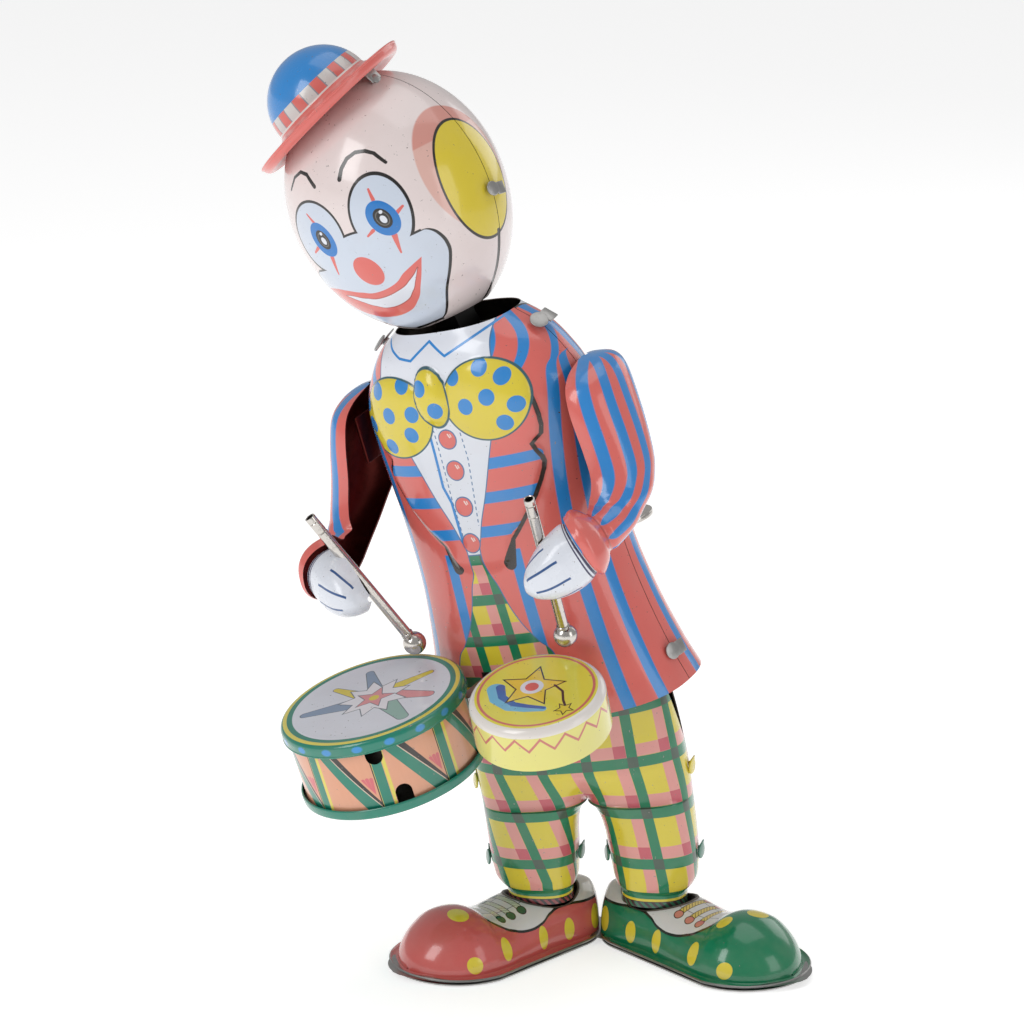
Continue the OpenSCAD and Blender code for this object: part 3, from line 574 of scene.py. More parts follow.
def draw_face(point):
    x, y, z = split(point)
    page = Page(x, z)
    side = Page(y, z)
    picture = Print(SKIN)
    front = y < -3.0
    # white mask round the eyes and mouth
    jaw = [
        (8.4, 3.6), (9.8, 6.3), (14.6, CRISP), (21.7, 16.5), (24.4, 17.6), (27.4, 17.7), (29.4, 16.9),
        (30.2, 15.2)
    ]
    cheeks = most(abs(x - 0.2) - curve(z, jaw), z - 30.2, 8.4 - z)
    mask = least(
        page.oval(-7.9, 37.6, 7.9, 8.9), page.oval(9.8, 37.2, 6.5, 9.5, -4), cheeks,
        page.oval(0.8, 30, 10, 6)
    )
    picture.stamp(mask, MASK, front, 8.0)
    picture.stamp(abs(mask) - 0.28, BLACK, front, CRISP)
    brows = least(
        page.path([(-12.2, 50.0), (-9.6, 52.3), (-6.8, 53.0), (-4.8, 52.0), (-3.1, 48.9)], 0.28, 0.5),
        page.path(
            [(4.2, 48.2), (5.3, 50.2), (7.0, 51.7), (9.1, 52.2), (11.2, 51.6), (12.9, 50.3), (14.8, 47.3)],
            0.55, 0.3
        )
    )
    picture.stamp(brows, BLACK, front, CRISP)
    # eyes with short rays
    rays = least(
        page.bar(10.1, 41.0, 9.9, 43.6, 0.42, 0.25), page.bar(13.2, 36.0, 14.9, 36.9, 0.5, 0.3),
        page.bar(7.2, 34.6, 5.5, 33.9, 0.45, 0.25), page.bar(10.8, 31.6, 10.0, 27.4, 0.62, 0.2),
        page.bar(-7.0, 41.4, -8.4, 43.8, 0.4, 0.2), page.bar(-9.6, 35.6, -11.6, 34.8, 0.45, 0.25),
        page.bar(-6.6, 32.4, -7.9, 28.2, 0.6, 0.2)
    )
    picture.stamp(rays, SALMON, front, CRISP)
    for ex, ez, lean in ((10.3, 36.3, 16), (-6.5, 37.0, 18)):
        for grow, colour in ((1.0, ink("1f78c4")), (0.56, BLACK), (0.42, ink("6b6660")), (0.36, BLACK)):
            eye = page.oval(ex, ez, 3.1 * grow, 4.6 * grow, lean)
            picture.stamp(eye, colour, front, CRISP)
        glints = least(page.oval(ex + 0.1, ez - 0.3, 0.65, 1.0, lean), page.dot(ex + 0.2, ez + 1.5, 0.42))
        picture.stamp(glints, WHITE, front, CRISP)
    # mouth: lips between two curves, and the white smile between two more
    low = curve(x, [
        (-17.1, 25.5), (-13, 19.4), (-9.2, 16), (-4.7, 13.9), (1, 13.5), (5.2, 15.2), (8.5, 18.2),
        (12.9, 24.6)
    ])
    top = curve(x, [
        (-17.1, 25.5), (-13, 25.0), (-9.5, 24), (-4.9, 22.2), (-0.6, 20.9), (2.8, 21), (7.9, 22.9),
        (12.9, 24.6)
    ])
    lips = most(z - top, low - z, abs(x + 2.1) - 15.0) + 0.04
    picture.stamp(lips, SALMON, front)
    low = curve(x, [
        (-10.6, 22.6), (-7.1, 19.9), (-4.7, 17.9), (-1.3, 16.2), (2.5, 16.2), (6.3, 17.9), (8.6, 20),
        (10.8, 22.6)
    ])
    top = curve(x, [
        (-10.6, 22.6), (-9.3, 22.3), (-5.1, 20.4), (-0.6, 19.1), (4.1, 19.4), (7.7, 20.6), (10.8, 22.6)
    ])
    smile = most(z - top, low - z, abs(x) - 10.8) + 0.02
    picture.stamp(smile - 0.22, ink("a8483f"), front)
    picture.stamp(smile, WHITE, front)
    nose = page.oval(0.8, 26.4, 3.2, 4.0, 18)
    picture.stamp(nose, SALMON, front)
    # ear puffs across the seam
    outer = abs(x) > 12.0
    blush = side.oval(-3.4, 38.6, 12.6, 15.2, 8)
    picture.stamp(blush, ink("dfb3a8"), outer, 4.0)
    upper = most(blush, 47.0 - z)
    picture.stamp(upper, ink("cf8276"), outer * 0.7, 3.0)
    puff = side.oval(-2.6, 35.2, 10.6, 14.4, 4)
    picture.stamp(puff, ink("dcc634"), outer)
    picture.stamp(abs(puff) - 0.24, BLACK, outer, CRISP)
    # dark line along the seam below each ear puff
    seam = most(abs(y + 0.5) - 0.6, z - 22.0)
    picture.cover(ramp(seam, -9.0, 0.5), BLACK)
    return picture


def draw_under_brim(point):
    x, y, _ = split(point)
    r = reach(x, y)
    picture = Print(ink("c9c6bf"))
    picture.add(18.9 - r, SALMON, 0.12)
    picture.add(abs(r - 18.8) - 0.14, ink("574a44"), 0.12)
    return picture


def draw_hat(point):
    angle, _, z = split(point)
    picture = Print(BLUE)
    # tops of the checked band, of the pale line under it and of the brim
    band_top, line_top, brim_top = 8.7, 5.35, 4.95
    blocks = repeat(angle, 27.0)
    trim = least(blocks, 27 - blocks, abs(blocks - 12.6)) * 0.227
    picture.cover(z < band_top, ink("d2d0cd"))
    picture.cover((z < band_top) * (blocks < 12.6), SALMON)
    picture.cover((z < band_top) * (trim < 0.16), ink("8d8f98"))
    picture.cover(z < line_top, ink("e4ddd8"))
    picture.cover(z < brim_top, SALMON)
    return picture


SHIRT = [
    (4, 18), (21, 13.4), (24.3, 10.6), (32, 6), (38, 4), (46.4, 1.9), (51, 3), (61.5, 7.3), (73.5, 12),
    (80, 15), (86, 17), (92, 16), (99.5, 15.5)
]
LAPEL = [
    (42, 6.6), (49.5, 8.8), (53.4, 13.1), (58.9, 17.5), (66.2, 20.9), (68.4, 21.3), (70.9, 19.6),
    (72.7, 21.7), (76.5, 22.6), (84, 21.6)
]
BOW = {
    "right": (-14.2, 81.2, 11.2, 9.6, 8), "left": (11.6, 83.2, 10.6, 9.5, -6),
    "knot": (-2.0, 85.4, 4.5, 7.1, 6)
}
BUTTONS = [(-0.5, 75.2), (-0.6, 67.6), (-0.7, 58.8), (-1.2, 49.9)]
BACK_STRIPES = (1.12, 1.34, 1.56, 1.78, 2.0)


def draw_coat(point):
    x, y, z = split(point)
    f, girth, _ = split(attribute("wrap"))
    page = Page(x, z)
    picture = Print(SALMON)
    front = y < 0.0
    # lengthwise stripes, counted in shares of a quarter of the girth
    around = abs(f)
    low = z < 88.0
    lower = least(
        abs(around - curve(z, [(4, 0.59), (30, 0.6), (60, 0.63), (80, 0.72), (88, 0.86)])),
        abs(around - curve(z, [(4, 0.78), (40, 0.79), (70, 0.82), (88, 0.98)])),
        *[abs(around - share) for share in BACK_STRIPES]
    )
    upper = least(
        *[abs(around - curve(z, [(88, a), (93, a + 0.16), (99.5, a + 0.3)])) for a in (0.28, 0.56, 0.86)],
        *[abs(around - share) for share in BACK_STRIPES]
    )
    stripes = (lower * low + upper * (1 - low)) * girth - 1.55
    short = most(abs(around - 0.24) * girth - 1.5, z - 47.0)
    middle = x + 1.2
    shirt = abs(middle) - curve(z, SHIRT)
    lapel = most(abs(x) - curve(z, LAPEL), 43.0 - z, z - 82.0)
    inside_lapel = (lapel < 0.0) * front
    picture.add(least(stripes, short), BLUE, 0.3)
    picture.cover(inside_lapel, SALMON)
    bars = least(*[abs(z - level) - 1.35 for level in (68.2, 60.2, 52.2)])
    picture.stamp(bars, BLUE, inside_lapel, 5.0)
    # shirt above, tartan below
    cloth = plaid(x + (46 - z) * -0.05, z, 1.2, 35.4, 9.6, 10.2)
    opening = ramp(shirt, -8.0, 0.5) * front
    high = z > 46.8
    picture.cover(opening * (1 - high), cloth.colour)
    picture.cover(opening * high, WHITE)
    picture.stamp(abs(shirt + 0.1) - 0.16, LINE_BLUE, front)
    picture.stamp(most(abs(z - 46.9) - 0.15, shirt), LINE_BLUE, front)
    # placket with stitching and buttons
    placket = most(page.path([(-5.1, 78), (-5.2, 63.9), (-3.9, 60.0), (-3.4, 48.6)], 0.38), shirt)
    picture.stamp(placket, BLUE, front)
    stitch = least(
        page.path([(-3.7, 77.6), (-3.6, 61.2), (-2.9, 49)], 0.14),
        page.path([(3.3, 77.8), (3.6, 70), (2.0, 54)], 0.14)
    )
    dashes = repeat(z, 1.5) > 0.65
    picture.stamp(stitch, LINE_BLUE, front * dashes)
    for bx, bz in BUTTONS:
        button = page.dot(bx, bz, 2.2)
        picture.stamp(button - 0.3, LINE_BLUE, front)
        picture.stamp(button, SALMON, front)
        shine = least(
            page.bar(bx + 0.5, bz + 1.3, bx + 0.9, bz + 0.5, 0.16),
            page.bar(bx + 1.1, bz + 1.2, bx + 1.3, bz + 0.6, 0.12)
        )
        picture.stamp(shine, ink("f0d8d2"), front)
    # black edge of each lapel, thickening to a tail
    mirrored = Page(abs(x), z)
    notch_line = [
        (21.9, 82.2), (22.5, 77), (21.9, 72.7), (19.6, 70.9), (21.0, 67.4), (20.6, 64.6), (17.5, 58.9),
        (13.1, 53.2), (9.6, 49.4)
    ]
    edge = mirrored.path([tuple(p) for p in smooth(notch_line, 2)], 0.34, 0.45)
    tail = mirrored.bar(9.6, 49.4, 7.3, 43.6, 0.45, 1.5)
    picture.stamp(least(edge, tail), ink("2c2420"), front, 8.0)
    collar = page.path(
        [(-14.4, 98.4), (-12.4, 96.6), (-9.8, 94.9), (-6.4, 94.2), (-0.8, 97.9), (3.3, 94.4), (15.2, 99.2)],
        0.3
    )
    picture.stamp(collar, BLUE, front)
    # bow tie
    dots = {
        "right": [
            (-18.4, 87.8), (-9.9, 89), (-24.3, 84.5), (-15.2, 82.3), (-22.6, 79.7), (-8.2, 82.2),
            (-9.9, 77.3), (-17.3, 74.6)
        ],
        "left": [(4.7, 89.6), (12, 90.8), (17, 87.9), (12.9, 84), (19, 81), (7.1, 82.6), (15.5, 77.3)],
        "knot": [(-4.2, 88.2), (-0.9, 82.7)]
    }
    for lobe in ("right", "left", "knot"):
        shape = page.oval(*BOW[lobe])
        picture.stamp(shape, YELLOW, front)
        spots = most(least(*[page.dot(a, b, 1.95) for a, b in dots[lobe]]), shape)
        picture.stamp(spots, BLUE, front)
        picture.stamp(abs(shape) - 0.2, ink("35606b"), front)
    # collar at the back
    back = y > 0.0
    nape = most(94.6 - z, abs(x) - 15.5)
    picture.stamp(nape, WHITE, back, 8.0)
    picture.stamp(abs(nape) - 0.25, ink("2c2a2a"), back, 8.0)
    return picture


def draw_trousers(point):
    u, v, _ = split(point)
    w = ramp(u, -1 / 8, 0.5)
    share = ramp(v, 1 / 29.3, -17.7 / 29.3)
    shift = (1 - share) * (w * 4.6 + 3.4)
    picture = plaid(u - shift, v, -19.3, 23.0)
    # bands of the cuff, each over the one above
    picture.cover(v < 15.4, TROUSER_GREEN)
    picture.cover(v < 13.5, YELLOW)
    picture.cover(v < 12.9, ink("33272a"))
    checks = (repeat(u + v, 1.8) < 0.9) * (v < 12.7)
    picture.cover(checks * (u < 0.0), ink("93474a"))
    picture.cover(checks * (u > 0.0), ink("2d6b50"))
    return picture


def draw_sleeve(point):
    share, row, girth = split(point)
    picture = Print(SALMON)
    stripes = least(*[abs(share - c) * girth for c in (0.14, 0.33, 0.52, 0.71, 0.9)])
    width = curve(row, [(0, 1.45), (7, 1.45), (10, 1.2), (11.6, 0.5), (12.1, 0.0), (15, 0.0)])
    picture.add(most(stripes - width, row - 11.9), BLUE, 0.3)
    # painted shade: a thin darker salmon line at half strength in the groove before the cuff
    picture.stamp(abs(row - 12.0) - 0.12, ink("8c3f38"), 0.5, 6.0)
    return picture


FINGERS = ((0.2, 2.5, 4.6), (0.4, 1.9, 4.4), (0.6, 1.6, 3.8), (0.8, 1.4, 3.0))


def draw_glove(point):
    share, row, girth = split(point)
    picture = Print(WHITE)
    lines = []
    for middle, first, last in FINGERS:
        lines.append(most(abs(share - middle) * girth - 0.3, (first - row) * 3.0, (row - last) * 3.0))
    picture.add(least(*lines), ink("264f86"), 0.12)
    cuff = least(abs(row - 0.16) - 0.11, abs(row - 0.5) - 0.07) * 3.5
    picture.add(cuff, ink("2b2750"), 0.12)
    return picture


def draw_shoe(body, lace, eyelet):
    def draw(point):
        x, y, z = split(point)
        page, plan = Page(x, z), Page(x, abs(y))
        picture = Print(body)
        edge = curve(x, [
            (-16, 9.6), (-8, 9.9), (0, 10.4), (4, 9.6), (8, 8.0), (12, 7.5), (16, 8.2), (19, 9.6),
            (21.5, 11.4), (24, 15), (42, 16)
        ])
        vamp = edge - z
        picture.add(vamp, ink("dcd9d6"))
        picture.outline(vamp, 0.55, BLACK)
        tongue = plan.bar(10, 0, 20, 0, 3.4, 2.6)
        picture.outline(tongue, 0.22, ink("6b6b6b"))
        on_top = z > 8.2
        for row in (10.6, 13.9, 17.0):
            thong = plan.bar(row, 0, row, 4.6, 0.62)
            twist = repeat(x * 1.2 + y, 1.1) < 0.22
            picture.stamp(thong - 0.2, ink("51412f"), on_top)
            picture.stamp(thong, lace, on_top)
            picture.stamp(thong, ink("6d5a2c"), on_top * twist)
            hole = plan.oval(row, 5.6, 0.95, 1.15)
            picture.stamp(hole - 0.2, BLACK, on_top)
            picture.stamp(hole, eyelet, on_top)
        spots = least(
            page.oval(-10.4, 5.4, 1.9, 3.0, 4), page.oval(-0.8, 4.8, 1.6, 2.7), page.oval(8, 4.9, 1.5, 2.8),
            page.oval(30.5, 3.9, 1.9, 2.0), page.oval(20.5, 5.4, 1.6, 2.6)
        )
        picture.add(most(spots, 3.5 - abs(y)), YELLOW)
        picture.add(most(Page(x, y).oval(28.0, 3.0, 2.4, 2.9), 9.0 - z), YELLOW)
        picture.add(most(Page(x, y).oval(24.5, -5.4, 1.7, 2.2), 9.0 - z), YELLOW)
        return picture

    return draw


def draw_plain(colour):
    return lambda point: Print(colour)


def draw_big_head(point):
    x, y, z = split(point)
    r = reach(x, y)
    page = Page(x, y)
    picture = Print(GREEN)
    angle = calc("ARCTAN2", y, x) * BIG_R
    spots = Page(repeat(angle, 2 * pi * BIG_R / 18), z)
    picture.add(spots.oval(3.9, BIG_H - 1.7, 1.25, 0.8), ink("2f8fd0"), 0.3)
    picture.cover(z > BIG_H - 0.75, GREEN)
    picture.add(abs(r - 21.15) - 0.5, ink("e0d25a"))
    picture.add(r - 19.3, ink("dcdfe8"))
    # rosette with ribbons
    slate, pink = ink("8095b0"), ink("dc8f93")
    dark = ink("5d6a74")
    for a, b, width, end, colour in (
        ((-3, -2), (-14.5, -7.5), 2.6, 1.0, slate), ((-2, 1), (-12.5, 4.5), 1.8, 0.7, YELLOW),
        ((3, 0), (13.5, -8.5), 2.7, 1.4, ink("8fb3a8")), ((4, 2), (15, 2.0), 2.2, 1.2, pink),
        ((2, 4), (9.5, 12.5), 1.9, 0.8, YELLOW), ((-1, 4), (-7.5, 12.5), 1.8, 0.9, slate)
    ):
        ribbon = page.bar(*a, *b, width, end)
        picture.add(ribbon - 0.2, dark)
        picture.add(ribbon, colour)
    star = page.star(0.5, 0.5, 8.6, 5.2, 9, 80)
    picture.add(star - 0.25, dark)
    picture.add(star, ink("e6e4ea"))
    picture.add(page.star(0.5, 0.5, 5.2, 2.3, 5, 96), pink)
    picture.outline(page.star(0.5, 0.5, 5.2, 2.3, 5, 96), 0.22, dark)
    picture.add(page.dot(0.5, 0.5, 1.25), YELLOW)
    return picture


def draw_big_side(point):
    u, z, _ = split(point)
    step = 2 * pi * 21.4 / 8
    u = repeat(u, step)
    page = Page(u, z)
    drop = (17.0 - z) / 14.4
    left, right, black = drop * 8.9 + 3.6, drop * 9.7 + 6.5, drop * 8.5 + 8.5
    picture = Print(PEACH)
    picture.cover(noise(vector("MULTIPLY", attribute("place"), (1, 1, 0.15)), 1.2, 2) * 0.25, ink("cf8c66"))
    tulip = least(*[
        page.bar(15.5, 3.6, top, 9.2 + rise, 0.12, 0.46) for top,
        rise in ((12.7, 0.0), (13.7, 0.45), (14.7, 0.6), (15.7, 0.5))
    ])
    picture.add(most(tulip, black + 0.55 - u), ink("d76a72"))
    picture.add(most(right - u, u - black), ink("2b2624"))
    picture.add(abs(u - right) - 0.16, ink("e3c9b5"))
    picture.add(most(left - u, u - right + 0.1), GREEN)
    picture.add(abs(u - 1.2) - 1.2, GREEN)
    picture.add(least(abs(u - 2.95) - 0.42, abs(u - step) - 0.1), ink("e0d25a"))
    picture.add(abs(u - (step - 0.25)) - 0.14, ink("2b2624"))
    return picture


def draw_small_cap(point):
    x, y, z = split(point)
    r = reach(x, y)
    page = Page(x, y)
    top = z > SMALL_H - 1.6
    pale = ink("e3dc7d")
    picture = Print(pale)
    around = repeat(calc("ARCTAN2", y, x) * SMALL_R, 2 * pi * SMALL_R / 17)
    half = pi * SMALL_R / 17
    zigzag = abs(z - 5.4 - abs(around - half) * (3.1 / half)) * 0.69 - 0.28
    picture.add(zigzag, ink("c9736b"))
    picture.cover(top, ink("e2d848"))
    picture.cover(top * (r > 14.35), ink("e6e0da"))
    picture.cover((z > SMALL_H - 2.0) * (1 - top), ink("e6e0da"))
    picture.stamp(abs(r - 13.45) - 0.32, ink("cf6f62"), top)
    face = z > SMALL_H - 1.0
    # kite of ribbons and a star
    for shape, colour in (
        (
            page.path([(-9.6, -1.5), (-7.6, -5.0), (-3.5, -7.2), (0.5, -7.0), (4.5, -6.2)], 2.1, 0.9),
            ink("6db9d8")
        ),
        (
            page.path([(-8.8, -0.6), (-6.8, -4.0), (-3.0, -6.0), (0.5, -6.0), (4.6, -5.7)], 1.1, 0.5),
            ink("1f5fa8")
        ),
        (page.star(-1.6, 1.2, 7.4, 3.5, 5, 100) - 0.35, BLACK),
        (page.star(-1.6, 1.2, 7.4, 3.5, 5, 100), ink("e8c93a")), (page.dot(-1.6, 1.2, 2.7), WHITE),
        (page.dot(-1.6, 1.2, 1.6), SALMON),
        (page.path([(3.4, 3.0), (6.2, 1.2), (7.8, -2.0), (9.4, -4.2)], 0.3), BLACK),
        (page.star(9.4, -5.0, 2.0, 0.95, 5, 70) - 0.25, BLACK),
        (page.star(9.4, -5.0, 2.0, 0.95, 5, 70), YELLOW)
    ):
        picture.stamp(shape, colour, face)
    return picture


FACE = printed("face print", draw_face, 0.2)
HAT_INK = printed("hat print", draw_hat, 0.24)
HAT_BACK = printed("hat underside", draw_under_brim, 0.3)
COAT = printed("coat print", draw_coat, 0.22)
TROUSERS = printed("tartan print", draw_trousers, 0.22)
SLEEVE = printed("sleeve print", draw_sleeve, 0.22)
GLOVE = printed("glove print", draw_glove, 0.26)
RED_SHOE = printed("red shoe print", draw_shoe(ink("cc5d58"), ink("d8dcc4"), ink("1d5a45")), 0.2, 0.72)
GREEN_SHOE = printed("green shoe print", draw_shoe(ink("0f7a52"), ink("e0c565"), ink("cf7f76")), 0.2, 0.72)
GREEN_INK = printed("green print", draw_plain(GREEN), 0.24)
PINK_INK = printed("pink print", draw_plain(ink("cf7d74")), 0.28)
TEAL_INK = printed("dark green print", draw_plain(ink("2d7a64")), 0.28)
YELLOW_INK = printed("yellow print", draw_plain(YELLOW), 0.26)
BIG_HEAD = printed("big drum head print", draw_big_head, 0.2)
BIG_SIDE = printed("big drum side print", draw_big_side, 0.3)
SMALL_CAP = printed("small drum print", draw_small_cap, 0.2)

# ---------- Head and hat ----------

SEAM = 0.1


def egg(angle):
    up, down = 0.48 * HEAD_H, 0.52 * HEAD_H
    c = cos(radians(angle))
    return HEAD_R * sin(radians(angle)), HEAD_MID + (up if c > 0 else down) * c


def head_half(front):
    profile = [egg(a) for a in np.linspace(0, 158, 110)]
    start = 180 if front else 0
    rows = lathe(profile, 120, start, 180 - 1e-6)
    edge = -SEAM if front else SEAM
    rows[..., 1] = np.minimum(rows[..., 1], edge) if front else np.maximum(rows[..., 1], edge)
    # the cheeks, brow and nose stand out a little
    for x, z, rx, rz, height in ((0.8, 26.4, 4.6, 5.2, 0.55), (9, 20, 8, 7, 0.35), (-9, 20, 8, 7, 0.35)):
        near = np.clip(1 - ((rows[..., 0] - x) / rx) ** 2 - ((rows[..., 2] - z) / rz) ** 2, 0, 1)
        rows[..., 1] -= (rows[..., 1] < -4) * near**1.5 * height
    name = "head_front" if front else "head_back"
    half = shell(name + "_skin", rows, HEAD, [FACE, INSIDE])
    return fit(half, "head", "face_tin", name)


head_half(True)
head_half(False)


def ear(point, out, along, size=1.0):
    """Parts of one tin ear bent over a seam: a root, a square leaf and a round leaf."""
    out, along = Vector(out).normalized(), Vector(along).normalized()
    across = out.cross(along)
    base = Matrix((across, along, out)).transposed().to_4x4()
    base.translation = Vector(point)
    s = size
    return [
        ("box", (0, 0, 0.1), (2.2 * s, 0.5, 0.8), base),
        ("box", (0, 1.7 * s, 0.5), (3.4 * s, 3.0 * s, 0.4), base @ turn("X", 9)),
        ("rod", base @ Vector((0.3, -1.6 * s, 0.4)), base @ Vector((0.3, -1.75 * s, 0.82)), 2.0 * s)
    ]


head_ears = []
for side in (-1, 1):
    head_ears += ear((side * (HEAD_R + 0.05), 0, 30.5), (side, 0, 0), (0, 1, -0.15), 0.85)
fit(solid("head_ears", head_ears, HEAD, TINPLATE, 0.14), "head", "bare_tin", "head_tabs")

dome = [(13 * cos(radians(a)), 4.8 + 12.6 * sin(radians(a))) for a in np.linspace(90, 3, 40)]
brim = smooth(
    [
        (13, 4.9), (13.5, 4.35), (15.3, 3.45), (17.3, 2.25), (18.6, 1.35), (19.4, 0.95), (20.2, 1.05),
        (20.9, 1.8), (21.2, 2.7)
    ],
    5
)
rows = lathe(dome + [tuple(p) for p in brim], 144)
angles = np.degrees(np.arctan2(rows[..., 1], rows[..., 0]))
angles[0] = 0
hat_print = np.dstack([angles, np.hypot(rows[..., 0], rows[..., 1]), rows[..., 2]])
fit(
    shell("bowler", rows, HAT, [HAT_INK, HAT_BACK], True, 0.42, hat_print, (0, 0, 1)), "head", "hat_tin",
    "hat"
)
rim = lathe(arc(21.2, 2.75, 0.32, CURL), 144)
fit(
    shell("bowler_curl", rim, HAT, [printed("hat edge", draw_plain(SALMON), 0.3)], True, 0), "head",
    "hat_tin"
)

tongues = []
for angle in (0, 90):
    c, s = cos(radians(angle)), sin(radians(angle))
    foot = -1.3 if angle == 0 else 2.2
    tongues.append(("box", (14.8, 0, (foot + 3.1) / 2), (0.5, 4.2, 3.1 - foot), turn("Z", angle)))
    tongues.append(("rod", (c * 14.5, s * 14.5, foot + 0.3), (c * 15.1, s * 15.1, foot + 0.3), 1.3))
fit(solid("hat_tongues", tongues, HAT, TINPLATE, 0.12), "head", "bare_tin", "hat_tabs")

# ---------- Coat ----------

COAT_ROWS = [
    [4, 34, 21, 22], [12, 31.6, 20.8, 20.5], [25, 28.8, 20.3, 18.5], [40, 27, 19.6, 17],
    [56, 27.6, 18.5, 16], [72, 29, 17.4, 15.5], [82, 28.6, 17.2, 15], [89, 25.6, 16.6, 14],
    [95, 21.2, 15.2, 12.6], [99.5, 15.4, 12.6, 10.6]
]


def arcs(points):
    return np.concatenate([[0], np.cumsum(np.linalg.norm(np.diff(points, axis=0), axis=1))])


def soft_step(value):
    value = np.clip(value, 0, 1)
    return value * value * (3 - 2 * value)


def cut(rows, inside, onto):
    """Opens a hole in a grid: points inside go to its edge, and faces that lie wholly inside aren't made."""
    within = inside(rows)
    hole = within[:-1, :-1] & within[1:, :-1] & within[:-1, 1:] & within[1:, 1:]
    rows[within] = onto(rows[within])
    return hole


def no_holes(rows):
    return np.zeros((rows.shape[0] - 1, rows.shape[1] - 1), bool)


def coat_half(front):
    levels = smooth(COAT_ROWS, 14)
    count = 161
    rows, wraps = [], []
    for z, half, near, far in levels:
        depth = near if front else far
        ring_ = np.array([ring(
            (-180 if front else 180) * j / (count - 1), half, depth, 2.5
        ) for j in range(count)])
        s = arcs(ring_)
        quarter = s[-1] / 2
        f = 1 - s / quarter
        f = f if front else np.sign(f) * (2 - np.abs(f))
        rows.append(np.column_stack([ring_, np.full(count, z)]))
        wraps.append(np.column_stack([f, np.full(count, quarter), np.full(count, z)]))
    rows, wraps = np.array(rows), np.array(wraps)
    x, y, z = rows[..., 0].copy(), rows[..., 1].copy(), rows[..., 2].copy()
    prints = rows.copy()
    if front:
        lift = np.zeros_like(x)
        lapel = np.interp(z, [p[0] for p in LAPEL], [p[1] for p in LAPEL])
        edge = np.where(z < 45, lapel * soft_step((z - 40) / 5), lapel)
        inside = soft_step((edge - np.abs(x)) / 1.6 + 0.5)
        lift += 0.9 * inside * soft_step((z - 41) / 5) * soft_step((90 - z) / 10)
        for bx, bz, rx, rz, angle in BOW.values():
            c, s = cos(radians(angle)), sin(radians(angle))
            u, v = (x - bx) * c + (z - bz) * s, (z - bz) * c - (x - bx) * s
            d = (u / rx) ** 2 + (v / rz) ** 2
            lift = np.maximum(lift, lift * 0.4 + np.clip(1 - d, 0, 1) ** 0.5 * (1.5 if rx > 6 else 2.3))
        for bx, bz in BUTTONS:
            d = ((x - bx) ** 2 + (z - bz) ** 2) / 2.3**2
            lift += np.clip(1 - d, 0, 1) ** 0.5 * 0.35
        rows[..., 1] -= lift * soft_step((-y - 2) / 6)
        rows[..., 1] = np.minimum(rows[..., 1], -SEAM)
    else:
        # a pressed line down the back
        fold = np.exp(-((x / 1.1) ** 2)) * 0.5 * soft_step((84 - z) / 8) * soft_step((y - 6) / 4)
        rows[..., 1] = np.maximum(y - fold, SEAM)
    hole = no_holes(rows)
    if front:
        hole |= cut(
            rows,
            lambda p: (np.abs(p[..., 0]) < 9) & (p[..., 2] > 15) & (p[..., 2] < 17.6) & (p[..., 1] < -10),
            lambda p: np.column_stack([p[:, 0], p[:, 1], np.where(p[:, 2] > 16.3, 17.6, 15)])
        )
    else:
        def outwards(p, r=3.2):
            d = np.hypot(p[:, 0], p[:, 2] - 34)
            scale = r / np.maximum(d, 0.01)
            return np.column_stack([p[:, 0] * scale, p[:, 1], 34 + (p[:, 2] - 34) * scale])

        hole |= cut(rows, lambda p: (np.hypot(p[..., 0], p[..., 2] - 34) < 3.2) & (p[..., 1] > 8), outwards)
    name = "coat_front" if front else "coat_back"
    half = shell(
        name + "_skin", rows, TORSO, [COAT, INSIDE], False, TIN, prints, (0, -1 if front else 1, 0),
        extra=wraps, hole=hole
    )
    return fit(half, "torso", "coat_tin", name)


coat_half(True)
coat_half(False)
coat_ears = []
for side in (-1, 1):
    coat_ears += ear((side * 32.1, 0, 11.6), (side, 0, 0.2), (0.0, 1, 0), 1.0)
    coat_ears += ear((side * 28.3, 0, 60), (side, 0, 0), (0, 1, 0), 0.9)
    coat_ears += ear((side * 22.2, 0, 95.6), (side * 0.6, 0, 0.8), (0, 1, 0), 1.1)
fit(solid("coat_ears", coat_ears, TORSO, TINPLATE, 0.13), "torso", "bare_tin", "coat_tabs")

# ---------- Trousers ----------

HIPS = [
    [36, 25.4, 11.3, 12.3], [37, 25.4, 11.5, 12.5], [42, 25.6, 12.6, 14], [50, 25.2, 13.2, 15],
    [60, 24.4, 13, 15], [71, 23.4, 12.4, 14.4]
]
LEGS = [
    [11.4, 5.8, 22, 8.2, 8.2], [14.4, 6, 21.8, 8, 8], [15.0, 5.4, 22.8, 8.7, 8.8],
    [15.9, 4.8, 23.6, 9.2, 9.3], [17.5, 4.3, 24.6, 9.8, 10], [22, 3.8, 25.3, 10.6, 10.8],
    [29, 3.2, 25.4, 11, 11.6], [32, 2.7, 25.4, 11.2, 12], [34, 2.1, 25.4, 11.2, 12.1],
    [35.4, 1.3, 25.4, 11.3, 12.2], [36.2, 0.5, 25.4, 11.3, 12.3], [36.6, 0, 25.4, 11.3, 12.3],
    [72, 0, 25.4, 11.3, 12.3]
]


def at(table, z):
    table = np.asarray(table, dtype=float)
    return [np.interp(z, table[:, 0], table[:, i]) for i in range(1, table.shape[1])]


def lean(points):
    x, y, z = points[..., 0], points[..., 1], points[..., 2]
    s = np.maximum(0, (z - 11.4) / (WAIST_Z - 11.4))
    return np.stack([x - HIP_SHIFT * s**1.5, y, z + x * tan(radians(HIP_ROLL)) * np.minimum(1, s)], -1)


